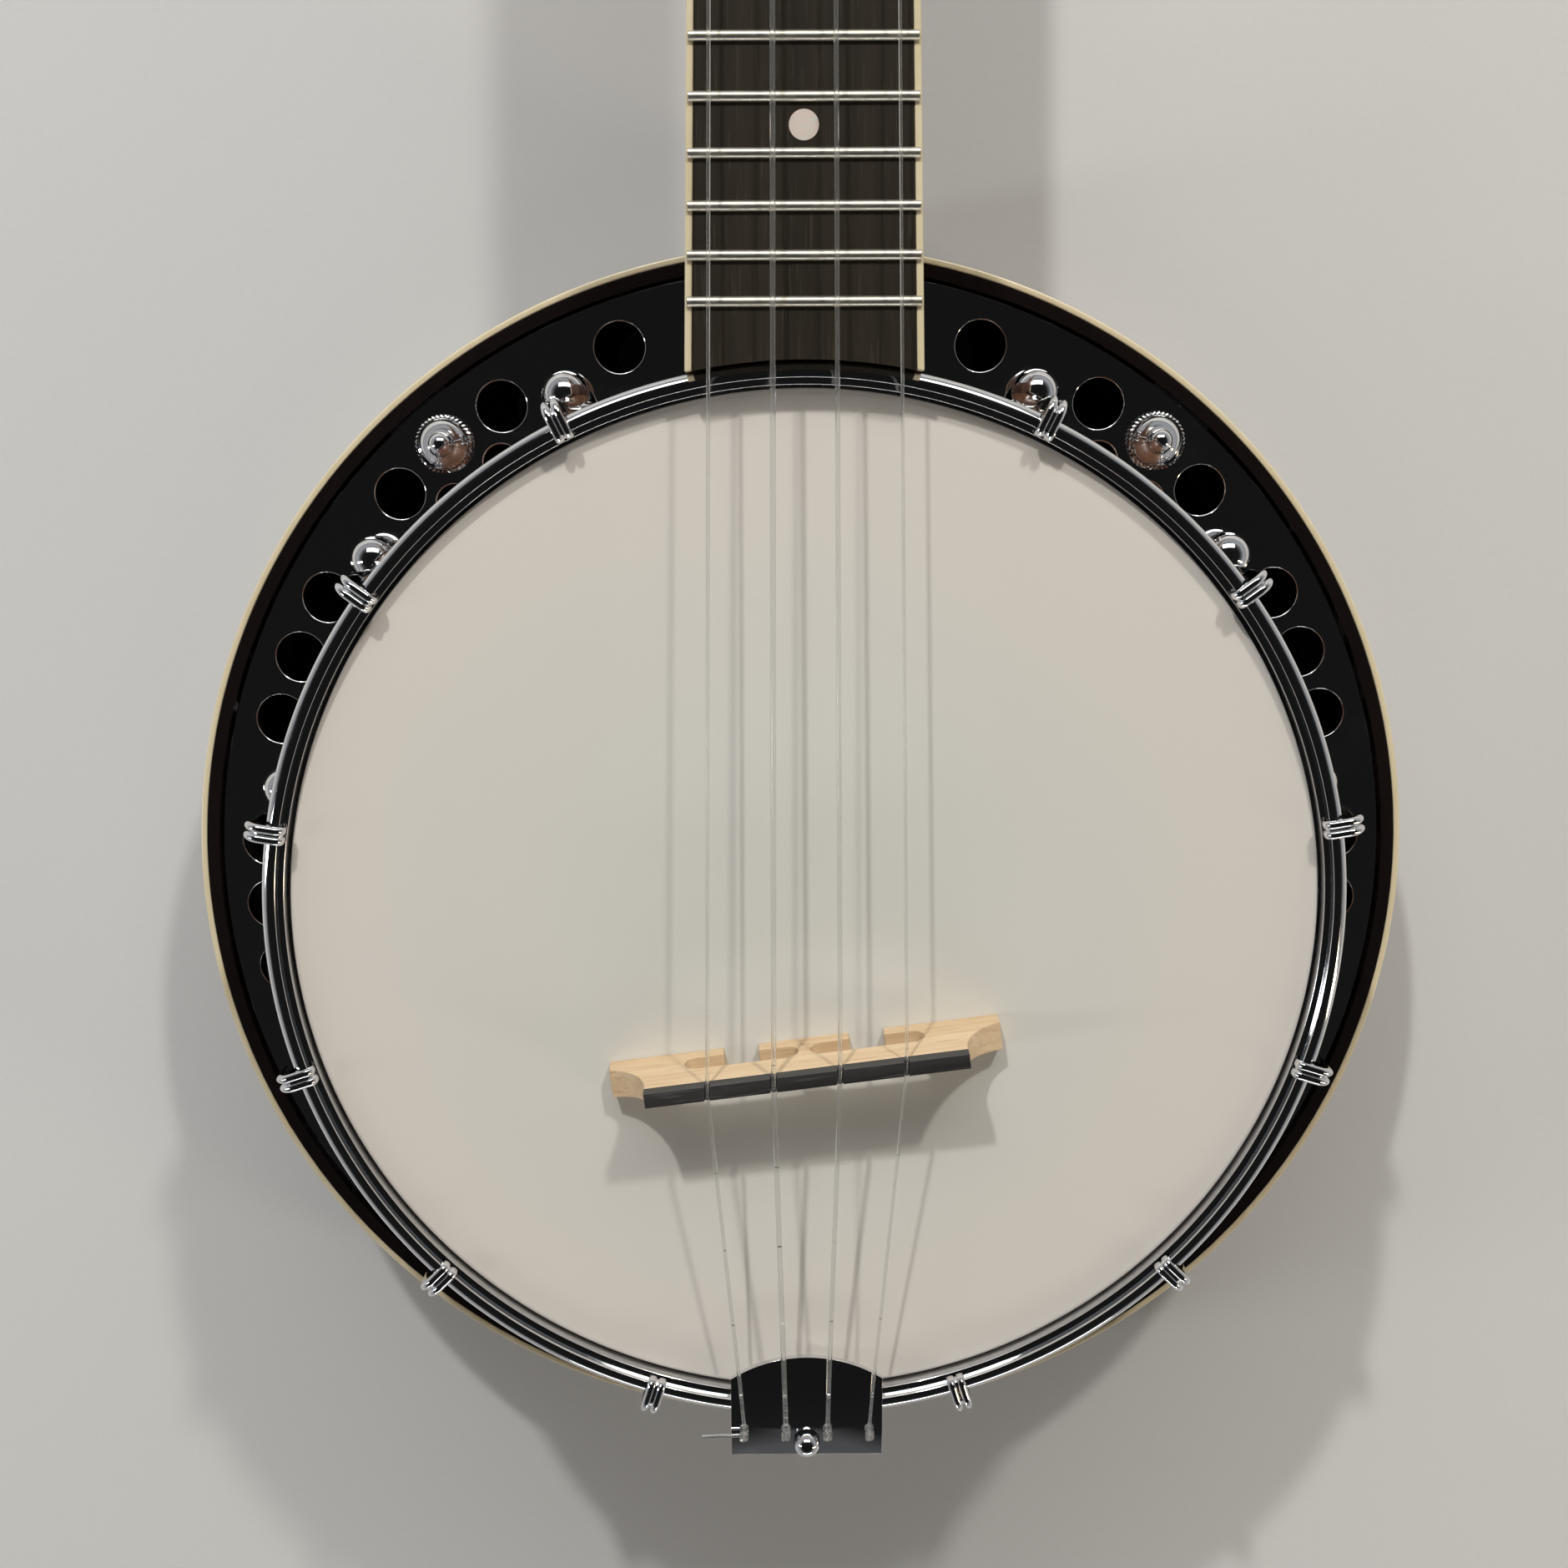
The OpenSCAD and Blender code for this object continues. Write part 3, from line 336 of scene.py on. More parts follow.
@dataclass(frozen=True)
class Lacquer(Finish):
    """Deep gloss lacquer over dark wood."""

    shade: Colour = (0.0055, 0.0045, 0.0045)
    glow: Colour = (0.012, 0.008, 0.007)
    dust: Colour = (0.10, 0.09, 0.08)

    def dress(self, tree: Tree) -> None:
        """Near-black gloss with faint dust, polishing haze and a trace of grain."""
        grain = tree.noise(1.0, tree.stretched((260.0, 26.0, 260.0)), detail=5.0)
        haze = tree.noise(38.0, detail=3.0).between(0.42, 0.72)
        specks = tree.noise(2600.0, detail=1.0).between(0.72, 0.80)
        ripple = tree.noise(160.0, detail=2.0)
        depth = tree.mix(grain, self.shade, self.glow)
        tree.set(
            Base_Color=tree.mix(specks * 0.25, depth, self.dust),
            Roughness=haze * 0.07 + specks * 0.2 + 0.055,
            Coat_Weight=0.7,
            Coat_Roughness=0.03,
        )
        tree.bump(ripple, 0.02)


@dataclass(frozen=True)
class Celluloid(Finish):
    """Cream or ivory plastic with faint layers."""

    pale: Colour = (0.84, 0.76, 0.54)
    deep: Colour = (0.70, 0.58, 0.36)
    gloss: float = 0.28

    def dress(self, tree: Tree) -> None:
        """Layered plastic, darker in random stains."""
        layers = tree.noise(1.0, tree.stretched((420.0, 40.0, 1500.0)), detail=3.0)
        stain = tree.noise(90.0, detail=5.0).between(0.45, 0.8)
        tree.set(
            Base_Color=tree.mix(stain * 0.4, tree.mix(layers, self.pale, self.deep), self.deep),
            Roughness=stain * 0.15 + self.gloss,
            Coat_Weight=0.15,
            Coat_Roughness=0.15,
        )
        tree.bump(layers, 0.02)


@dataclass(frozen=True)
class Film(Finish):
    """Frosted plastic film of the head."""

    cool: Colour = (0.725, 0.725, 0.675)
    warm: Colour = (0.765, 0.725, 0.67)

    def dress(self, tree: Tree) -> None:
        """Milky film, cooler in the middle, with a sprayed grain."""
        x, y, _ = tree.axes()
        away = ((x * x + y * y) ** 0.5) * 10.0
        cloud = tree.noise(9.0, detail=2.0)
        edge = (away + (cloud - 0.5) * 0.5).between(0.25, 1.05)
        spray = tree.noise(2400.0, detail=2.0)
        tree.set(
            Base_Color=tree.mix(edge, self.cool, self.warm),
            Roughness=spray * 0.10 + 0.26,
            Specular_IOR_Level=0.42,
        )
        tree.bump(spray, 0.006)


class Run(Enum):
    """The way that the grain of a wooden piece runs."""

    ALONG_NECK = (900.0, 38.0, 900.0, 0.0)
    ALONG_BRIDGE = (55.0, 800.0, 800.0, -7.0)
    ROUND_RIM = (300.0, 300.0, 1500.0, 0.0)


@dataclass(frozen=True)
class Timber(Finish):
    """Wood with growth streaks and open pores."""

    dark: Colour = (0.10, 0.04, 0.02)
    light: Colour = (0.22, 0.10, 0.05)
    pore: Colour = (0.03, 0.012, 0.008)
    run: Run = Run.ALONG_NECK
    pores: float = 0.6
    gloss: float = 0.40
    coat: float = 0.0
    shine: float = 0.5

    def dress(self, tree: Tree) -> None:
        """Streaks and pores that run with the grain."""
        across, along, upright, turn = self.run.value
        wide = tree.stretched((across * 0.16, along * 0.16, upright * 0.16), turn)
        close = tree.stretched((across, along, upright), turn)
        bands = tree.noise(1.0, wide, detail=4.0, distortion=0.6).between(0.30, 0.70)
        streaks = tree.noise(1.0, close, detail=3.0).between(0.35, 0.65)
        vessels = tree.noise(2.1, close, detail=1.0).between(0.60, 0.70)
        body = tree.mix(bands * 0.65 + streaks * 0.35, self.dark, self.light)
        tree.set(
            Base_Color=tree.mix(vessels * self.pores, body, self.pore),
            Roughness=vessels * 0.2 + (1.0 - streaks) * 0.06 + self.gloss,
            Specular_IOR_Level=self.shine,
            Coat_Weight=self.coat,
            Coat_Roughness=0.12,
        )
        tree.bump(1.0 - vessels * self.pores, 0.05)


@dataclass(frozen=True)
class Drawn(Finish):
    """Drawn nickel wire, brushed along X."""

    tint: Colour = (0.66, 0.64, 0.56)
    stain: Colour = (0.42, 0.38, 0.28)

    def dress(self, tree: Tree) -> None:
        """Fine lines along the wire, with tarnish between polished spots."""
        lines = tree.noise(1.0, tree.stretched((60.0, 2600.0, 2600.0)), detail=2.0)
        tarnish = tree.noise(320.0, detail=4.0).between(0.4, 0.75)
        tree.set(
            Base_Color=tree.mix(tarnish * 0.5, self.tint, self.stain),
            Metallic=1.0,
            Roughness=lines * 0.10 + tarnish * 0.1 + 0.30,
        )
        tree.bump(lines, 0.004)


@dataclass(frozen=True)
class Pearl(Finish):
    """Pearl inlay with drifting layers of colour."""

    cream: Colour = (0.72, 0.66, 0.55)
    rose: Colour = (0.74, 0.63, 0.57)
    green: Colour = (0.62, 0.66, 0.58)

    def dress(self, tree: Tree) -> None:
        """Pale shell that shifts between cream, rose and green."""
        drift = tree.noise(240.0, detail=3.0, distortion=2.2)
        stops = [(0.25, self.cream), (0.5, self.rose), (0.75, self.green)]
        tree.set(
            Base_Color=tree.ramp(drift, stops),
            Roughness=drift * 0.15 + 0.18,
            Coat_Weight=0.4,
            Coat_Roughness=0.08,
        )
        tree.bump(drift, 0.01)


@dataclass(frozen=True)
class Bone(Finish):
    """Polished bone with fine pores."""

    pale: Colour = (0.80, 0.76, 0.64)
    deep: Colour = (0.70, 0.64, 0.50)
    pore: Colour = (0.45, 0.38, 0.26)

    def dress(self, tree: Tree) -> None:
        """Off-white with short darker pores."""
        holes = tree.noise(1.0, tree.stretched((900.0, 2600.0, 2600.0)), detail=2.0)
        pores = holes.between(0.62, 0.74)
        cloud = tree.noise(120.0, detail=3.0)
        body = tree.mix(cloud, self.pale, self.deep)
        tree.set(
            Base_Color=tree.mix(pores * 0.5, body, self.pore),
            Roughness=pores * 0.2 + 0.26,
        )
        tree.bump(1.0 - pores, 0.02)


@dataclass(frozen=True)
class Nylon(Finish):
    """Clear nylon monofilament."""

    dull: Colour = (0.88, 0.89, 0.88)
    clear: Colour = (0.96, 0.96, 0.95)

    def dress(self, tree: Tree) -> None:
        """Slightly cloudy clear plastic with drawing lines."""
        lines = tree.noise(1.0, tree.stretched((3000.0, 50.0, 3000.0)), detail=2.0)
        tree.set(
            Base_Color=tree.mix(lines, self.dull, self.clear),
            Roughness=lines * 0.08 + 0.12,
            Transmission_Weight=0.94,
            IOR=1.5,
        )
        tree.bump(lines, 0.004)


@dataclass(frozen=True)
class Backdrop(Finish):
    """Plain pale paper of the floor."""

    low: Colour = (0.70, 0.70, 0.69)
    high: Colour = (0.73, 0.73, 0.72)

    def dress(self, tree: Tree) -> None:
        """Pale matt paper with a very faint tooth."""
        tooth = tree.noise(700.0, detail=3.0)
        tree.set(Base_Color=tree.mix(tooth, self.low, self.high), Roughness=0.9)
        tree.bump(tooth, 0.02)


CHROME = Plating("chrome_plating")
STEEL = Plating("zinc_plating", tint=(0.50, 0.51, 0.53), gloss=0.26, smears=0.2, scratch=0.01)
BRASS = Plating("brass_plating", tint=(0.72, 0.50, 0.20), gloss=0.16)
BLACK = Lacquer("black_gloss_lacquer")
VENEER = Lacquer("black_headstock_lacquer", glow=(0.016, 0.014, 0.014))
CREAM = Celluloid("cream_binding_plastic")
IVORY = Celluloid(
    "ivory_button_plastic", pale=(0.82, 0.80, 0.74), deep=(0.72, 0.68, 0.58), gloss=0.2
)
FILM = Film("frosted_head_film")
ROSEWOOD = Timber(
    "rosewood_board",
    dark=(0.014, 0.011, 0.007), light=(0.029, 0.0225, 0.014), pore=(0.052, 0.042, 0.028),
    pores=0.45, gloss=0.52, shine=0.22,
)
EBONY = Timber(
    "ebony_cap",
    dark=(0.018, 0.017, 0.017), light=(0.045, 0.043, 0.043), pore=(0.09, 0.085, 0.08),
    run=Run.ALONG_BRIDGE, pores=0.3, gloss=0.38,
)
MAPLE = Timber(
    "maple_bridge",
    dark=(0.60, 0.42, 0.24), light=(0.76, 0.585, 0.385), pore=(0.40, 0.25, 0.13),
    run=Run.ALONG_BRIDGE, pores=0.35, gloss=0.46,
)
MAHOGANY = Timber(
    "mahogany_neck",
    dark=(0.075, 0.026, 0.013), light=(0.17, 0.068, 0.032), pore=(0.022, 0.009, 0.006),
    pores=0.7, gloss=0.26, coat=0.35,
)
RIM_WOOD = Timber(
    "laminated_rim",
    dark=(0.085, 0.034, 0.018), light=(0.21, 0.095, 0.045), pore=(0.03, 0.012, 0.008),
    run=Run.ROUND_RIM, pores=0.5, gloss=0.36, coat=0.2,
)
NICKEL = Drawn("drawn_nickel_wire")
SHELL = Pearl("pearl_inlay")
BONE = Bone("polished_bone")
NYLON = Nylon("clear_nylon_string")


# ---- Shaping tools ----


def arc(centre: Point, radius: float, start: float, end: float, steps: int) -> list[Point]:
    """Points of an arc.

    Args:
        centre: its centre.
        radius: its radius.
        start: its first angle, in degrees.
        end: its last angle, in degrees.
        steps: the number of steps between them.

    Returns:
        The points, first to last.
    """
    angles = [math.radians(start + (end - start) * k / steps) for k in range(steps + 1)]
    return [(centre[0] + radius * math.cos(a), centre[1] + radius * math.sin(a)) for a in angles]


def lathe(shape: Shape, profile: Sequence[Point], steps: int, closed: bool = False) -> None:
    """Turns a profile about the Z axis.

    Args:
        shape: the mesh that it is added to.
        profile: (radius, height) points.
        steps: the number of steps round.
        closed: whether the last point joins the first.
    """
    points = [shape.verts.new((r, 0.0, z)) for r, z in profile]
    ends = points[1:] + points[:1] if closed else points[1:]
    edges = [shape.edges.new((a, b)) for a, b in zip(points, ends)]
    bmesh.ops.spin(
        shape, geom=points + edges, cent=(0, 0, 0), axis=(0, 0, 1),
        angle=math.tau, steps=steps, use_merge=True,
    )
    bmesh.ops.remove_doubles(shape, verts=shape.verts[:], dist=1e-5)


def frame_at(
    point: Vector, ahead: Vector, side: Vector, scale: Sequence[float] = (1, 1, 1)
) -> Matrix:
    """A placement whose local Z looks ahead.

    Args:
        point: its origin.
        ahead: the direction of its Z axis.
        side: the direction that its X axis is nearest to.
        scale: factors along its X, Y and Z axes.

    Returns:
        The placement.
    """
    z = ahead.normalized()
    x = (side - side.dot(z) * z).normalized()
    turn = Matrix((x, z.cross(x), z)).transposed().to_4x4()
    return Matrix.Translation(point) @ turn @ Matrix.Diagonal((*scale, 1.0))


def frames_on(points: Sequence[Vector], side: Vector, radii: Sequence[float]) -> list[Matrix]:
    """Placements along a line of points.

    Args:
        points: the line.
        side: the direction of the first X axis; the next ones turn as little as they can.
        radii: the size of the section at each point.

    Returns:
        One placement for each point.
    """
    frames = []
    for k, point in enumerate(points):
        ahead = points[min(k + 1, len(points) - 1)] - points[max(k - 1, 0)]
        frames.append(frame_at(point, ahead, side, (radii[k], radii[k], 1.0)))
        side = frames[-1].to_3x3().col[0]
    return frames


def sweep(shape: Shape, face: bmesh.types.BMFace, frames: Sequence[Matrix]) -> None:
    """Draws a face along placements, and closes both ends.

    Args:
        shape: the mesh that holds the face.
        face: the section, already in the first placement.
        frames: the placements.
    """
    for before, after in zip(frames, frames[1:]):
        made = bmesh.ops.extrude_face_region(shape, geom=[face])["geom"]
        fresh = [g for g in made if isinstance(g, bmesh.types.BMVert)]
        bmesh.ops.transform(shape, matrix=after @ before.inverted(), verts=fresh)
        face = next(g for g in made if isinstance(g, bmesh.types.BMFace))


def cord(shape: Shape, points: Sequence[Vector], radii: Sequence[float], sides: int) -> None:
    """A round cord along points.

    Args:
        shape: the mesh that it is added to.
        points: its centre line.
        radii: its radius at each point.
        sides: the number of its sides.
    """
    frames = frames_on(points, Vector((1.0, 0.0, 0.02)), radii)
    made = bmesh.ops.create_circle(
        shape, cap_ends=True, segments=sides, radius=1.0, matrix=frames[0]
    )
    face = made["verts"][0].link_faces[0]
    sweep(shape, face, frames)


def soften(shape: Shape, width: float, segments: int, angle: float = 40.0) -> None:
    """Rounds the sharp edges of a closed mesh.

    Args:
        shape: the mesh.
        width: the width of the rounding.
        segments: its segments.
        angle: the least angle of an edge that is rounded, in degrees.
    """
    limit = math.radians(angle)
    sharp = [e for e in shape.edges if len(e.link_faces) == 2 and e.calc_face_angle(0.0) > limit]
    bmesh.ops.bevel(
        shape, geom=sharp, offset=width, offset_type="OFFSET", segments=segments,
        profile=0.5, affect="EDGES", clamp_overlap=True, material=-1,
    )


def place(part: Shape, shape: Shape, matrix: Matrix) -> None:
    """Adds a part to a shape.

    Args:
        part: the part; it is used up.
        shape: the mesh that it is added to.
        matrix: where the part goes.
    """
    bmesh.ops.transform(part, matrix=matrix, verts=part.verts[:])
    spare = bpy.data.meshes.new("placed_part")
    part.to_mesh(spare)
    part.free()
    shape.from_mesh(spare)
    bpy.data.meshes.remove(spare)


def round_the_pot(single: Shape, angles: Iterable[float]) -> Shape:
    """Copies of a shape round the pot.

    Args:
        single: the shape, made at the neck's side on the +Y axis; it is used up.
        angles: the angle of each copy from the neck, in degrees.

    Returns:
        A new mesh with every copy.
    """
    source = bpy.data.meshes.new("copied_shape")
    single.to_mesh(source)
    single.free()
    ring = bmesh.new()
    for angle in angles:
        known = len(ring.verts)
        ring.from_mesh(source)
        ring.verts.ensure_lookup_table()
        turn = Matrix.Rotation(-math.radians(angle), 3, "Z")
        bmesh.ops.rotate(ring, cent=(0, 0, 0), matrix=turn, verts=ring.verts[known:])
    bpy.data.meshes.remove(source)
    return ring


def publish(
    name: str,
    shape: Shape,
    finish: Finish,
    nodes: Sequence[str],
    body: str = ROOT,
    crease: float = 34.0,
) -> bpy.types.Object:
    """Makes a shape a piece of the instrument.

    Args:
        name: the piece's name.
        shape: its mesh in millimetres; it is used up.
        finish: its finish.
        nodes: the CAD nodes that it stands for.
        body: the body that it rides on.
        crease: the least angle of an edge that stays sharp, in degrees.

    Returns:
        The piece's object.
    """
    bmesh.ops.recalc_face_normals(shape, faces=shape.faces[:])
    bmesh.ops.scale(shape, vec=(MM, MM, MM), verts=shape.verts[:])
    limit = math.radians(crease)
    for face in shape.faces:
        face.smooth = True
    for edge in shape.edges:
        edge.smooth = len(edge.link_faces) == 2 and edge.calc_face_angle(0.0) < limit
    mesh = bpy.data.meshes.new(name)
    shape.to_mesh(mesh)
    shape.free()
    mesh.materials.append(finish.material())
    piece = bpy.data.objects.new(name, mesh)
    bpy.context.scene.collection.objects.link(piece)
    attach(piece, body)
    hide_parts(*nodes)
    LOG.info("%s: %d faces, stands for %s", name, len(mesh.polygons), ", ".join(nodes))
    return piece


def weigh_normals(piece: bpy.types.Object) -> None:
    """Keeps the flat faces of a rounded piece flat in the light."""
    modifier = piece.modifiers.new("even_normals", "WEIGHTED_NORMAL")
    modifier.keep_sharp = True


class Instrument:
    """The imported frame, and the ways in which its nodes are dressed."""

    def __init__(self, frame: dict) -> None:
        """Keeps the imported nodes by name."""
        self.nodes = frame["nodes"]

    def dress(self, node: str, finish: Finish) -> None:
        """Gives a CAD node whose shape is right a finish."""
        materials = self.nodes[node].data.materials
        materials.clear()
        materials.append(finish.material())
        LOG.info("%s: CAD shape with %s", node, finish.name)

    def refine(
        self,
        node: str,
        name: str,
        finish: Finish,
        slot: str,
        width: float,
        segments: int = 2,
        angle: float = 40.0,
        body: str = ROOT,
    ) -> None:
        """Makes a piece from a copy of a CAD node with its edges rounded.

        Args:
            node: the CAD node.
            name: the piece's name.
            finish: its finish.
            slot: its material slot; it is not used.
            width: the width of the rounding.
            segments: the segments of the rounding.
            angle: the least angle of an edge that is rounded, in degrees.
            body: the body that it rides on.
        """
        shape = bmesh.new()
        shape.from_mesh(self.nodes[node].data)
        bmesh.ops.scale(shape, vec=(1 / MM, 1 / MM, 1 / MM), verts=shape.verts[:])
        bmesh.ops.remove_doubles(shape, verts=shape.verts[:], dist=MERGE_DISTANCE)
        bmesh.ops.dissolve_limit(
            shape, angle_limit=FLAT_ANGLE, verts=shape.verts[:], edges=shape.edges[:]
        )
        soften(shape, width, segments, angle)
        piece = publish(name, shape, finish, [node], body, crease=60.0)
        weigh_normals(piece)


# ---- Sub-assemblies ----


@dataclass
class Resonator:
    """The closed wooden bowl behind the pot, with its bindings."""

    radius: float = 131.0
    height: float = 42.0
    binding_width: float = 1.35
    binding_height: float = 2.5
    lower_binding_z: float = 6.1
    binding_corner: float = 0.35
    wall_edge: float = 0.6
    back_edge: float = 0.5
    bracket_edge: float = 0.5
    steps: int = 288

    def binding(self, low: float, height: float) -> Shape:
        """One binding strip with rounded corners.

        Args:
            low: the height of its lower face.
            height: its own height.

        Returns:
            The strip.
        """
        shape = bmesh.new()
        inner = self.radius - self.binding_width
        top = low + height
        corners = [(inner, low), (self.radius, low), (self.radius, top), (inner, top)]
        lathe(shape, corners, self.steps, closed=True)
        soften(shape, self.binding_corner, 3)
        return shape

    def build(self, instrument: Instrument) -> None:
        """Makes the bowl, its strips, brackets and screws."""
        lacquer = "black_lacquer"
        instrument.refine("resonator_wall", "resonator_side", BLACK, lacquer, self.wall_edge, 3)
        instrument.refine("resonator_back", "resonator_back_plate", BLACK, lacquer, self.back_edge)
        strips = self.binding(self.height - self.binding_height, self.binding_height)
        lower = self.binding(self.lower_binding_z, self.binding_height - 0.05)
        place(lower, strips, Matrix.Identity(4))
        publish("resonator_binding_strips", strips, CREAM, ["resonator_bindings"])
        pieces = "resonator_angle_pieces"
        instrument.refine("resonator_brackets", pieces, STEEL, "zinc_steel", self.bracket_edge)
        instrument.dress("bracket_screws", STEEL)


@dataclass
class Pot:
    """The rim, its rings, the head and the flange."""

    head_z: float = 84.0
    rim_r: float = 101.2
    hoop_r: float = 106.4
    hoop_rise: float = 3.6
    crest_r: float = 1.9
    film_t: float = 0.35
    film_roll: float = 1.3
    collar_z: float = 77.6
    skirt_r: float = 104.8
    skirt_z: float = 72.6
    step_r: float = 103.5
    lip_r: float = 102.2
    lip_z: float = 85.65
    edge_r: float = 0.15
    flange_edge: float = 0.65
    bolt_edge: float = 0.25
    steps: int = 288

    def head(self) -> Shape:
        """The film with its rolled edge and collar."""
        shape = bmesh.new()
        outer = self.rim_r + 0.05 + self.film_t
        inner = outer - self.film_t
        roll, top = self.film_roll, self.head_z
        corner = (outer - roll, top - roll)
        outside = [(r, top) for r in (0.0, 20.0, 40.0, 60.0, 80.0, 95.0)]
        outside += arc(corner, roll, 90.0, 0.0, 8)
        collar = [(outer, self.collar_z), (inner, self.collar_z)]
        inside = arc(corner, roll - self.film_t, 0.0, 90.0, 8)
        under = [(r, top - self.film_t) for r in (95.0, 60.0, 0.0)]
        lathe(shape, outside + collar + inside + under, self.steps)
        return shape

    def tension_hoop(self) -> Shape:
        """The plated hoop, with its rounded shoulder and thin inner lip."""
        shape = bmesh.new()
        crest = self.head_z + self.hoop_rise
        shoulder = (self.hoop_r - self.crest_r, crest - self.crest_r)
        edge, seat = self.edge_r, self.collar_z
        profile = [(self.skirt_r, self.skirt_z), (self.hoop_r - 0.3, self.skirt_z)]
        profile += [(self.hoop_r, self.skirt_z + 0.3)]
        profile += arc(shoulder, self.crest_r, 0.0, 90.0, 12)
        profile += arc((self.step_r + edge, crest - edge), edge, 90.0, 175.0, 4)
        profile += [(self.step_r - 0.04, self.lip_z + 0.45)]
        profile += [(self.step_r - 0.1, self.lip_z + 0.15)]
        profile += arc((self.lip_r + edge, self.lip_z - edge), edge, 90.0, 180.0, 4)
        profile += [(self.lip_r, seat + 0.15), (self.lip_r + 0.1, seat)]
        profile += [(self.skirt_r - 0.1, seat), (self.skirt_r, seat - 0.1)]
        lathe(shape, profile, self.steps, closed=True)
        return shape

    def build(self, instrument: Instrument) -> None:
        """Makes the pot's rings and dresses the hidden ones."""
        instrument.dress("wood_rim", RIM_WOOD)
        instrument.dress("tone_ring", BRASS)
        instrument.dress("flesh_hoop", STEEL)
        publish("head_skin", self.head(), FILM, ["head_film"])
        hoop, plate = self.tension_hoop(), "chrome_plate"
        publish("plated_tension_hoop", hoop, CHROME, ["tension_hoop"])
        instrument.refine("flange", "plate_flange", CHROME, plate, self.flange_edge, 4)
        instrument.dress("coordinator_rod", STEEL)
        instrument.dress("neck_lag_bolts", STEEL)
        instrument.refine("lag_nut", "inner_lag_nut", STEEL, "zinc_steel", self.bolt_edge)
        instrument.refine("tail_bolt", "outer_tail_bolt", STEEL, "zinc_steel", self.bolt_edge)


@dataclass
class Hardware:
    """Hooks, nuts, shoes and thumbscrews round the pot."""

    first_angle: float = 25.7
    step: float = 27.4
    per_side: int = 6
    thumb_bays: tuple[int, ...] = (0, 3)
    hook_circle: float = 108.7
    shank_r: float = 1.6
    shank_top: float = 82.5
    thread_top: float = 45.0
    thread_pitch: float = 0.7
    claw_width: float = 3.7
    claw_root: tuple[Point, ...] = ((110.3, 79.6), (110.4, 80.6), (110.45, 82.0), (110.45, 84.0))
    claw_bend: Point = (107.05, 85.9)
    claw_bend_r: float = 3.4
    claw_back: tuple[Point, ...] = ((105.4, 89.3), (104.2, 89.28))
    claw_nose: Point = (103.9, 87.5)
    claw_nose_r: float = 1.78
    claw_tip: Point = (102.14, 86.9)
    root_depths: tuple[float, ...] = (3.2, 3.3, 3.35, 3.35)
    bend_depths: tuple[float, ...] = (3.3, 3.1, 2.85, 2.6, 2.35, 2.1, 1.9, 1.75, 1.62, 1.55)
    nose_depths: tuple[float, ...] = (1.52, 1.5, 1.5, 1.45, 1.4, 1.3, 1.2, 1.1, 1.05, 0.95)
    foot_z: float = 30.0
    nut_edge: float = 0.35
    shoe_z: float = 46.5
    shoe_foot: tuple[float, float, float] = (9.0, 3.2, 5.4)
    ball_r: float = 5.0
    ball_circle: float = 111.9
    rim_r: float = 101.2
    thumb_circle: float = 117.5
    thumb_teeth: int = 40
    thumb_r: float = 6.1
    thumb_root_r: float = 5.8
    flange_top: float = 41.0

    def angles(self) -> list[float]:
        """The angle of each hook from the neck, in degrees."""
        one_side = [self.first_angle + k * self.step for k in range(self.per_side)]
        return [side * angle for side in (-1, 1) for angle in one_side]

    def thumb_angles(self) -> list[float]:
        """The angle of each thumbscrew from the neck, in degrees."""
        middles = [self.first_angle + (bay + 0.5) * self.step for bay in self.thumb_bays]
        return [side * angle for side in (-1, 1) for angle in middles]

    def claw(self, shape: Shape) -> None:
        """The grooved claw that grips the hoop, swept from the shank to its square tip."""
        half = self.claw_width / 2
        ridge = (half - 0.12) / 2
        turns = [math.pi * k / 10 for k in range(11)]
        outline = [(-half, 1.0)]
        for side in (-1, 1):
            middle = side * (half - ridge)
            outline += [(middle - ridge * math.cos(a), 0.5 - 0.5 * math.sin(a)) for a in turns]
        outline += [(half, 1.0)]
        line = [*self.claw_root, *arc(self.claw_bend, self.claw_bend_r, 0.0, 90.0, 9)]
        line += [*self.claw_back, *arc(self.claw_nose, self.claw_nose_r, 90.0, 178.0, 6)]
        points = [Vector((0.0, r, z)) for r, z in line + [self.claw_tip]]
        depths = self.root_depths + self.bend_depths + self.nose_depths
        side, frames = Vector((-1, 0, 0)), []
        for k, point in enumerate(points):
            ahead = points[min(k + 1, len(points) - 1)] - points[max(k - 1, 0)]
            frames.append(frame_at(point, ahead, side, (1.0, depths[k], 1.0)))
        corners = [shape.verts.new(frames[0] @ Vector((x, y, 0.0))) for x, y in outline]
        sweep(shape, shape.faces.new(corners), frames)

    def shank(self, shape: Shape) -> None:
        """The round shank with the grooves of its thread."""
        profile: list[Point] = [(0.0, self.foot_z), (self.shank_r - 0.5, self.foot_z)]
        z = self.foot_z + 0.4
        while z < self.thread_top:
            groove = z + self.thread_pitch / 2
            profile += [(self.shank_r - 0.05, z), (self.shank_r - 0.3, groove)]
            z += self.thread_pitch
        profile += [(self.shank_r, z), (self.shank_r, self.shank_top - 2.0)]
        profile += [(self.shank_r - 0.5, self.shank_top), (0.0, self.shank_top)]
        rod = bmesh.new()
        lathe(rod, profile, 20)
        place(rod, shape, Matrix.Translation((0.0, self.hook_circle, 0.0)))

    def hooks(self) -> Shape:
        """Every hook round the pot."""
        single = bmesh.new()
        self.claw(single)
        self.shank(single)
        return round_the_pot(single, self.angles())

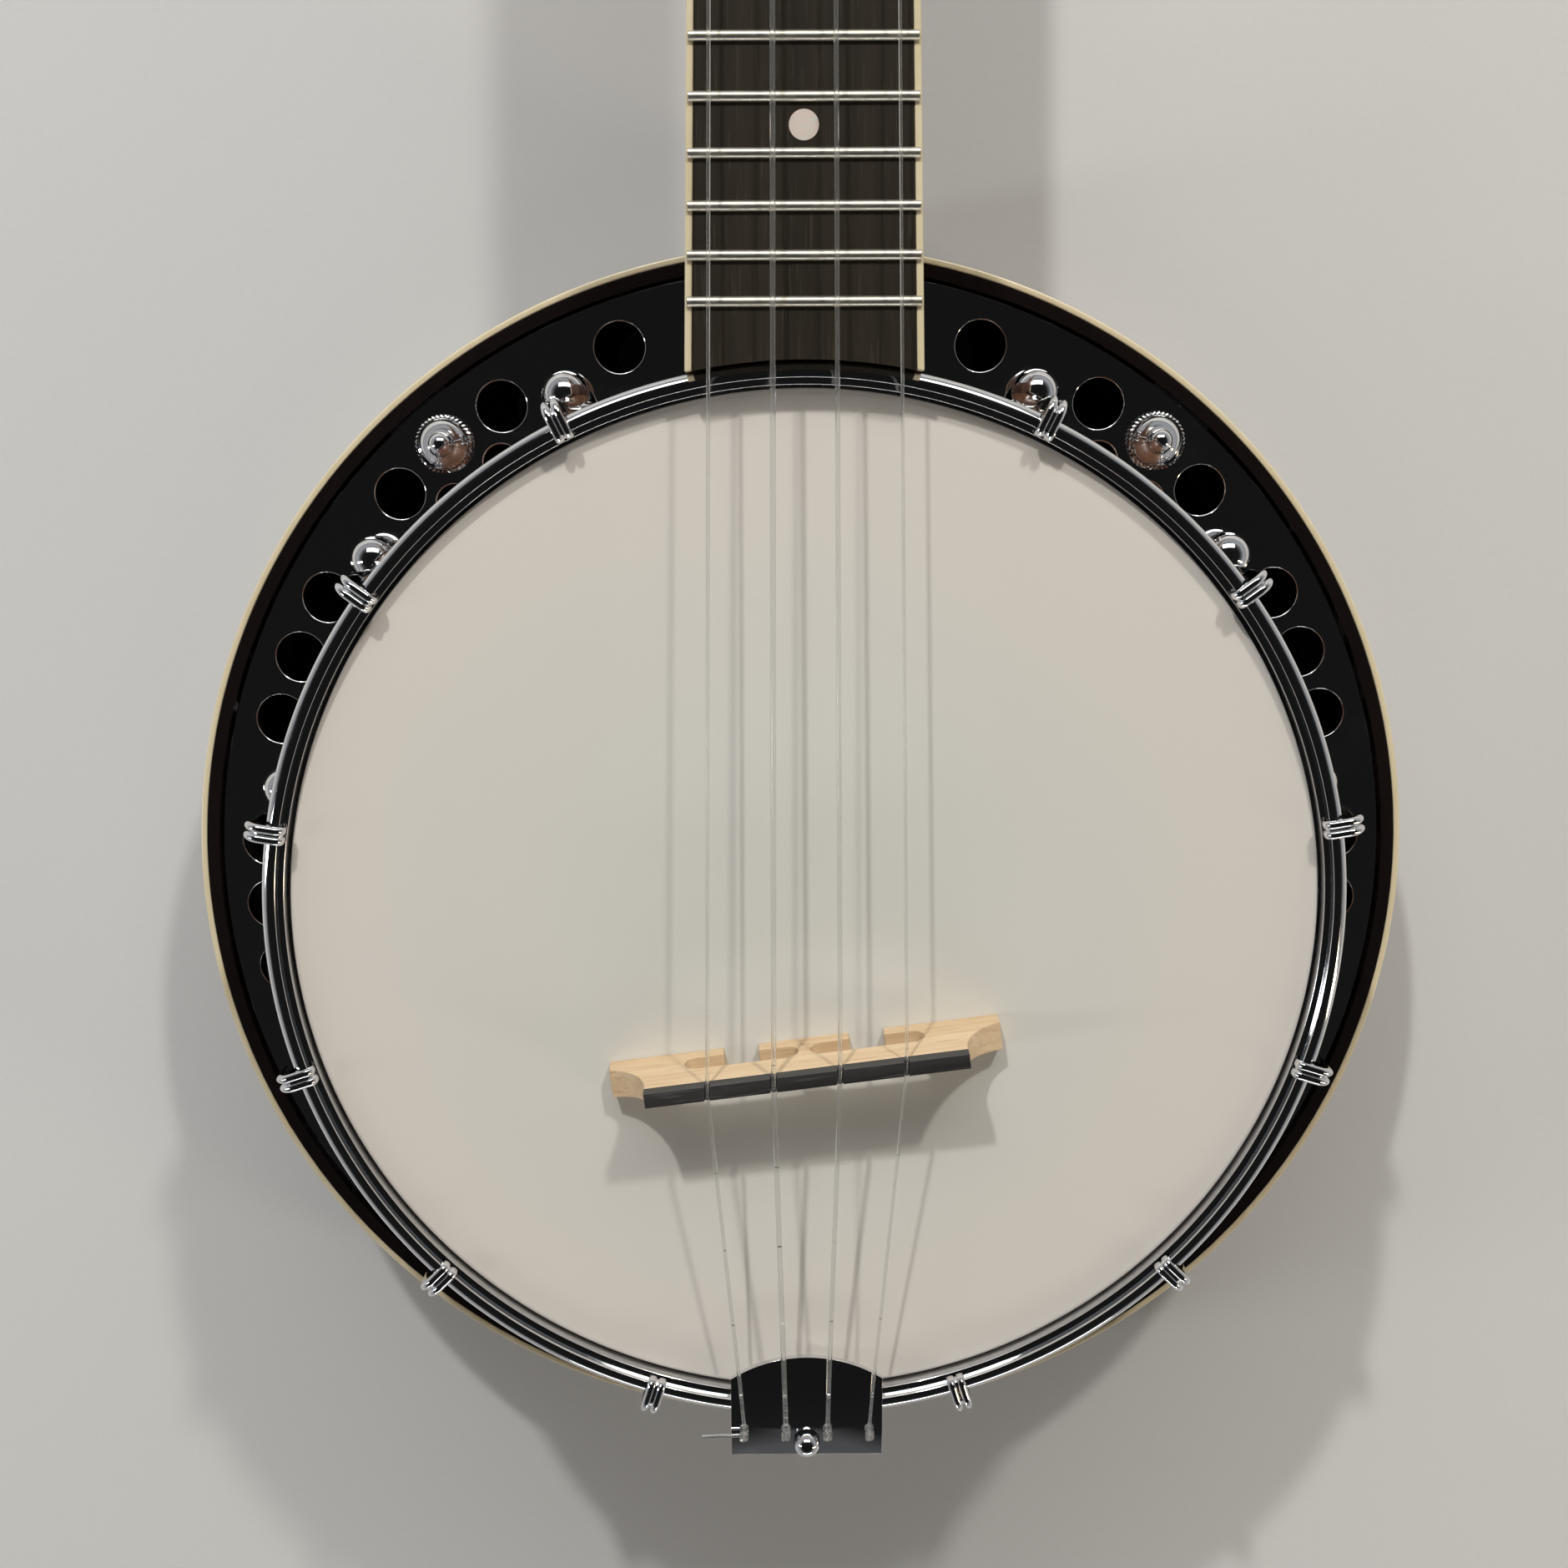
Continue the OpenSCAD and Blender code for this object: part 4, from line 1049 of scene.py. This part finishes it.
    def shoes(self) -> Shape:
        """Every ball-ended shoe round the pot."""
        reach = self.ball_circle - self.rim_r
        profile: list[Point] = [(0.0, 0.15), (5.3, 0.15), (5.5, 0.4), (5.5, 1.3), (5.2, 1.7)]
        profile += [(4.5, 2.1), (4.25, 2.8), (4.2, 5.2), (4.4, 5.9), (4.45, 6.6), (4.3, 7.0)]
        turns = [math.radians(-40 + 130 * k / 22) for k in range(23)]
        profile += [
            (self.ball_r * math.cos(a), reach + self.ball_r * math.sin(a)) for a in turns
        ]
        profile[-1] = (0.0, reach + self.ball_r)
        single = bmesh.new()
        boss = bmesh.new()
        lathe(boss, profile, 48)
        outward = Matrix.Rotation(math.radians(-90), 4, "X")
        place(boss, single, Matrix.Translation((0, self.rim_r, self.shoe_z)) @ outward)
        foot = bmesh.new()
        bmesh.ops.create_cube(foot, size=1.0)
        bmesh.ops.scale(foot, vec=self.shoe_foot, verts=foot.verts[:])
        soften(foot, 0.6, 3)
        place(foot, single, Matrix.Translation((0.0, self.rim_r + 1.85, self.flange_top + 2.8)))
        return round_the_pot(single, self.angles())

    def thumbscrew(self, angle: float) -> Shape:
        """One knurled thumbscrew.

        Args:
            angle: its angle from the neck, in degrees.

        Returns:
            The thumbscrew in its place.
        """
        head = bmesh.new()
        made = bmesh.ops.create_circle(
            head, cap_ends=True, segments=2 * self.thumb_teeth, radius=self.thumb_root_r
        )
        face = made["verts"][0].link_faces[0]
        for vert in list(face.verts)[::2]:
            vert.co *= self.thumb_r / self.thumb_root_r
        levels = [(0.05, 0.95), (0.35, 1.0), (2.4, 1.0), (2.8, 0.965), (3.05, 0.92)]
        frames = [Matrix.Translation((0, 0, z)) @ Matrix.Diagonal((s, s, 1, 1)) for z, s in levels]
        bmesh.ops.transform(head, matrix=frames[0], verts=head.verts[:])
        sweep(head, face, frames)
        dome = bmesh.new()
        profile: list[Point] = [(0.0, -11.5), (1.5, -11.5), (2.0, -11.0), (2.0, 0.5)]
        profile += [(5.3, 0.5), (5.35, 2.9)]
        profile += arc((0.0, 0.3), 5.95, 27.0, 62.0, 8)
        profile += [(2.66, 5.75)]
        profile += arc((0.0, 6.1), 2.6, 4.0, 90.0, 10)
        profile[-1] = (0.0, 8.7)
        lathe(dome, profile, 48)
        place(dome, head, Matrix.Identity(4))
        seat = (0.0, self.thumb_circle, self.flange_top + 0.05)
        bmesh.ops.translate(head, vec=seat, verts=head.verts[:])
        return round_the_pot(head, [angle])

    def build(self, instrument: Instrument) -> None:
        """Makes all the hardware."""
        plate = "chrome_plate"
        publish("grooved_hooks", self.hooks(), CHROME, ["hooks"], crease=50.0)
        publish("ball_shoes", self.shoes(), CHROME, ["bracket_shoes"])
        instrument.refine("hook_nuts", "hexagon_hook_nuts", CHROME, plate, self.nut_edge)
        instrument.dress("shoe_bolts", STEEL)
        for k, angle in enumerate(self.thumb_angles(), 1):
            node = f"thumbscrew_{k}"
            shape = self.thumbscrew(angle)
            publish(f"knurled_{node}", shape, CHROME, [node], body=node, crease=30.0)


@dataclass
class Neck:
    """The neck with its board, frets and nut, and the widths of their rounded edges."""

    neck_edge: float = 0.8
    veneer_edge: float = 0.25
    strip_edge: float = 0.3
    fret_crown: float = 0.5
    nut_edge: float = 0.18

    def build(self, instrument: Instrument) -> None:
        """Makes the neck's pieces."""
        refine = instrument.refine
        refine("neck", "carved_neck", MAHOGANY, "mahogany", self.neck_edge, 3, angle=30.0)
        refine("headstock_veneer", "headstock_face", VENEER, "black_veneer", self.veneer_edge)
        instrument.dress("fretboard", ROSEWOOD)
        edges = "fretboard_bindings"
        refine(edges, "board_edge_strips", CREAM, "cream_binding", self.strip_edge, 3)
        refine("frets", "crowned_frets", NICKEL, "nickel_wire", self.fret_crown, 4, angle=50.0)
        instrument.dress("position_dots", SHELL)
        refine("string_nut", "slotted_nut", BONE, "bone", self.nut_edge)


@dataclass
class BridgeAndTail:
    """The bridge, the tailpiece and its bolt, and the widths of their rounded edges."""

    body_edge: float = 0.18
    cap_edge: float = 0.12
    plate_edge: float = 0.3

    def build(self, instrument: Instrument) -> None:
        """Makes the bridge and the tail's pieces."""
        refine, plate = instrument.refine, "chrome_plate"
        refine("bridge_body", "maple_bridge_body", MAPLE, "maple", self.body_edge)
        refine("bridge_cap", "ebony_bridge_cap", EBONY, "ebony", self.cap_edge)
        refine("tailpiece", "plated_tailpiece", CHROME, plate, self.plate_edge, 3, angle=25.0)
        refine("tail_bracket", "rim_tail_bracket", CHROME, plate, self.plate_edge)
        instrument.dress("tension_bolt", STEEL)
        instrument.dress("tail_nut", CHROME)


@dataclass
class Strings:
    """The four strings, from their knots to the turns on the posts."""

    radii: tuple[float, ...] = (0.35, 0.5, 0.43, 0.3)
    tail_spacing: float = 8.6
    bridge_spacing: float = 12.8
    nut_spacing: float = 9.4
    plate_top: float = 89.2
    fold_y: float = -107.3
    flat_y: float = -100.8
    bridge_y: float = -29.0
    bridge_turn: float = 7.0
    bridge_z: float = 100.2
    nut_y: float = 369.07
    nut_z: float = 93.0
    face_y: float = 371.12
    face_z: float = 87.5
    tilt: float = 10.0
    post_x: float = 17.0
    post_r: float = 3.0
    wind_z: float = 6.4
    turns: int = 3
    gap: float = 0.05
    knot_turns: float = 2.5
    knot_r: float = 0.62
    knot_length: float = 1.5
    sites: tuple[Point, ...] = ((-1, 34.0), (-1, 72.0), (1, 72.0), (1, 34.0))

    def on_face(self, x: float, y: float, z: float) -> Vector:
        """A point of the headstock's frame in the frame of the part."""
        tilt = Matrix.Rotation(-math.radians(self.tilt), 3, "X")
        return Vector((0.0, self.face_y, self.face_z)) + tilt @ Vector((x, y, z))

    def route(self, i: int) -> list[Vector]:
        """The line of string i from its fold at the tail to its post."""
        x = i - 1.5
        r = self.radii[i]
        side, y = self.sites[i]
        bridge_x = x * self.bridge_spacing
        bridge_y = self.bridge_y + bridge_x * math.tan(math.radians(self.bridge_turn))
        over = self.plate_top + r + self.gap
        return [
            Vector((x * self.tail_spacing, self.fold_y, over)),
            Vector((x * self.tail_spacing * 1.04, self.flat_y, over)),
            Vector((bridge_x, bridge_y, self.bridge_z)),
            Vector((x * self.nut_spacing, self.nut_y, self.nut_z)),
            self.on_face(side * (self.post_x - self.post_r - r - self.gap), y, self.wind_z),
        ]

    def string(self, i: int) -> Shape:
        """One string with its knot at the tail.

        Args:
            i: its number from the left of the neck, from 0.

        Returns:
            The string.
        """
        r = self.radii[i]
        line = self.route(i)
        knot = Vector((line[0].x, self.fold_y - 1.7, self.plate_top - 0.41 + 1.2))
        points = [knot + Vector((0, -0.9, -0.25)), knot]
        points += [line[0] + Vector((0, -0.5, -0.12)), line[0]]
        for before, after in zip(line, line[1:]):
            points += [before.lerp(after, t) for t in (0.01, 0.25, 0.5, 0.75, 0.99)] + [after]
        shape = bmesh.new()
        cord(shape, points, [r] * len(points), 12)
        steps, loops = 36, []
        for k in range(steps + 1):
            a = math.tau * self.knot_turns * k / steps
            along = 0.55 - self.knot_length * k / steps
            offset = (self.knot_r * math.cos(a), along, self.knot_r * math.sin(a))
            loops.append(knot + Vector(offset))
        cord(shape, loops, [0.36] * len(loops), 8)
        if i == 0:
            bend = [(-0.8, 0.0, 0.0), (-2.5, -0.1, 0.05), (-5.0, -0.12, -0.1), (-8.6, -0.4, -0.2)]
            tail = [knot + Vector(p) for p in bend]
            cord(shape, tail, [0.38] * len(tail), 8)
        return shape

    def winding(self, i: int) -> Shape:
        """The turns of string i on its post."""
        side, y = self.sites[i]
        r = self.radii[i]
        around = self.post_r + r + self.gap
        pitch = 2 * r + self.gap
        per_turn = 24
        count = self.turns * per_turn
        points = []
        for k in range(count + 1):
            a = math.pi + math.tau * k / per_turn
            x = side * (self.post_x + around * math.cos(a))
            height = self.wind_z - 0.1 - pitch * k / per_turn
            points.append(self.on_face(x, y + around * math.sin(a), height))
        shape = bmesh.new()
        cord(shape, points, [r] * len(points), 10)
        return shape

    def build(self, instrument: Instrument) -> None:
        """Makes the strings and their windings."""
        for i in range(len(self.radii)):
            k, slot = i + 1, "clear_nylon"
            publish(f"nylon_string_{k}", self.string(i), NYLON, [f"string_{k}"])
            node, post = f"winding_{k}", f"tuner_{k}_post"
            publish(f"post_turns_{k}", self.winding(i), NYLON, [node], body=post)


@dataclass
class Tuners:
    """Posts, worms, buttons and the plates that carry them."""

    count: int = 4
    button_edge: float = 1.1
    housing_edge: float = 0.5
    plate_edge: float = 0.25
    bushing_edge: float = 0.3

    def build(self, instrument: Instrument) -> None:
        """Makes the tuners."""
        refine, plate = instrument.refine, "chrome_plate"
        for k in range(1, self.count + 1):
            instrument.dress(f"gear_post_{k}", CHROME)
            instrument.dress(f"worm_shaft_{k}", CHROME)
            name, worm = f"oval_button_{k}", f"tuner_{k}_worm"
            refine(f"button_{k}", name, IVORY, "pearl", self.button_edge, 4, 50.0, worm)
        refine("tuner_housings", "gear_covers", CHROME, plate, self.housing_edge, 3)
        refine("tuner_base_plates", "gear_base_plates", CHROME, plate, self.plate_edge)
        refine("tuner_bushings", "post_bushings", CHROME, plate, self.bushing_edge)
        instrument.dress("tuner_screws", CHROME)


@dataclass(frozen=True)
class Panel:
    """A soft light: its centre and size in metres, its power in watts and its colour."""

    name: str
    centre: tuple[float, float, float]
    size: Point
    power: float
    colour: Colour = (1.0, 0.98, 0.95)


PANELS = (
    Panel("left_key_panel", (-0.72, 2.30, 1.84), (0.10, 0.10), 32.0),
    Panel("right_key_panel", (0.93, 2.33, 1.84), (0.16, 0.16), 29.0, (1.0, 0.96, 0.89)),
    Panel("window_panel", (0.0, 1.15, 0.95), (1.4, 0.5), 6.0),
    Panel("west_panel", (-1.15, -0.15, 0.65), (0.10, 0.60), 2.2, (0.97, 0.98, 1.0)),
    Panel("east_panel", (1.10, -0.45, 0.60), (0.10, 0.60), 2.2, (1.0, 0.80, 0.55)),
    Panel("tail_panel", (0.10, -1.30, 0.50), (1.2, 0.12), 3.0),
)


@dataclass
class Studio:
    """Camera, lights and the pale floor."""

    eye: tuple[float, float, float] = (-6.44, 97.83, 450.98)
    turns: tuple[float, float, float] = (-0.19329, -0.00639, -0.00576)
    lens: float = 44.065992549
    sensor: float = 36.0
    floor_size: float = 4.0
    grey_levels: tuple[Point, ...] = (
        (0.0, 0.30), (0.30, 0.36), (0.50, 0.10), (0.68, 0.012), (1.0, 0.008),
    )

    def camera(self) -> None:
        """Puts the camera where it looks down on the pot from the neck's side."""
        data = bpy.data.cameras.new("front_camera")
        data.sensor_width = self.sensor
        data.lens = self.lens
        data.clip_start, data.clip_end = 0.01, 20.0
        camera = bpy.data.objects.new("front_camera", data)
        bpy.context.scene.collection.objects.link(camera)
        turn = Matrix.Identity(3)
        for angle, axis in zip(self.turns, "XYZ"):
            turn = turn @ Matrix.Rotation(angle, 3, axis)
        camera.matrix_world = Matrix.Translation(Vector(self.eye) * MM) @ turn.to_4x4()
        bpy.context.scene.camera = camera

    @staticmethod
    def lamp(panel: Panel) -> None:
        """Adds one soft panel that faces the pot."""
        data = bpy.data.lights.new(panel.name, "AREA")
        data.shape = "RECTANGLE"
        data.size, data.size_y = panel.size
        data.energy = panel.power
        data.color = panel.colour
        light = bpy.data.objects.new(panel.name, data)
        light.location = panel.centre
        aim = Vector((0.0, 0.0, 0.05)) - Vector(panel.centre)
        light.rotation_euler = aim.to_track_quat("-Z", "Y").to_euler()
        bpy.context.scene.collection.objects.link(light)

    def sky(self, world: bpy.types.World) -> None:
        """Makes the room dark overhead and softly lit near the horizon."""
        nodes, links = world.node_tree.nodes, world.node_tree.links
        split = nodes.new("ShaderNodeSeparateXYZ")
        links.new(nodes.new("ShaderNodeTexCoord").outputs["Generated"], split.inputs[0])
        ramp = nodes.new("ShaderNodeValToRGB")
        links.new(split.outputs["Z"], ramp.inputs[0])
        stops = [(height, (v, v, v * 1.02)) for height, v in self.grey_levels]
        Tree.set_stops(ramp.color_ramp, stops)
        links.new(ramp.outputs[0], nodes["Background"].inputs["Color"])

    def build(self) -> None:
        """Makes the camera, the lights, the sky and the floor."""
        self.camera()
        for panel in PANELS:
            self.lamp(panel)
        world = bpy.data.worlds.new("dim_room")
        world.use_nodes = True
        self.sky(world)
        bpy.context.scene.world = world
        bpy.context.scene.view_settings.view_transform = "Standard"
        shape = bmesh.new()
        bmesh.ops.create_grid(shape, x_segments=2, y_segments=2, size=self.floor_size)
        mesh = bpy.data.meshes.new("paper_floor")
        shape.to_mesh(mesh)
        shape.free()
        mesh.materials.append(Backdrop("pale_paper").material())
        floor = bpy.data.objects.new("paper_floor", mesh)
        bpy.context.scene.collection.objects.link(floor)
        LOG.info("studio: camera, panels and a floor")


def main() -> None:
    """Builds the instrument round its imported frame."""
    logging.basicConfig(level=logging.INFO, format="%(message)s")
    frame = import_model()
    instrument = Instrument(frame)
    Studio().build()
    for group in (Resonator(), Pot(), Hardware(), Neck(), BridgeAndTail(), Strings(), Tuners()):
        group.build(instrument)
        LOG.info("%s is done", type(group).__name__)


if __name__ == "__main__":
    main()
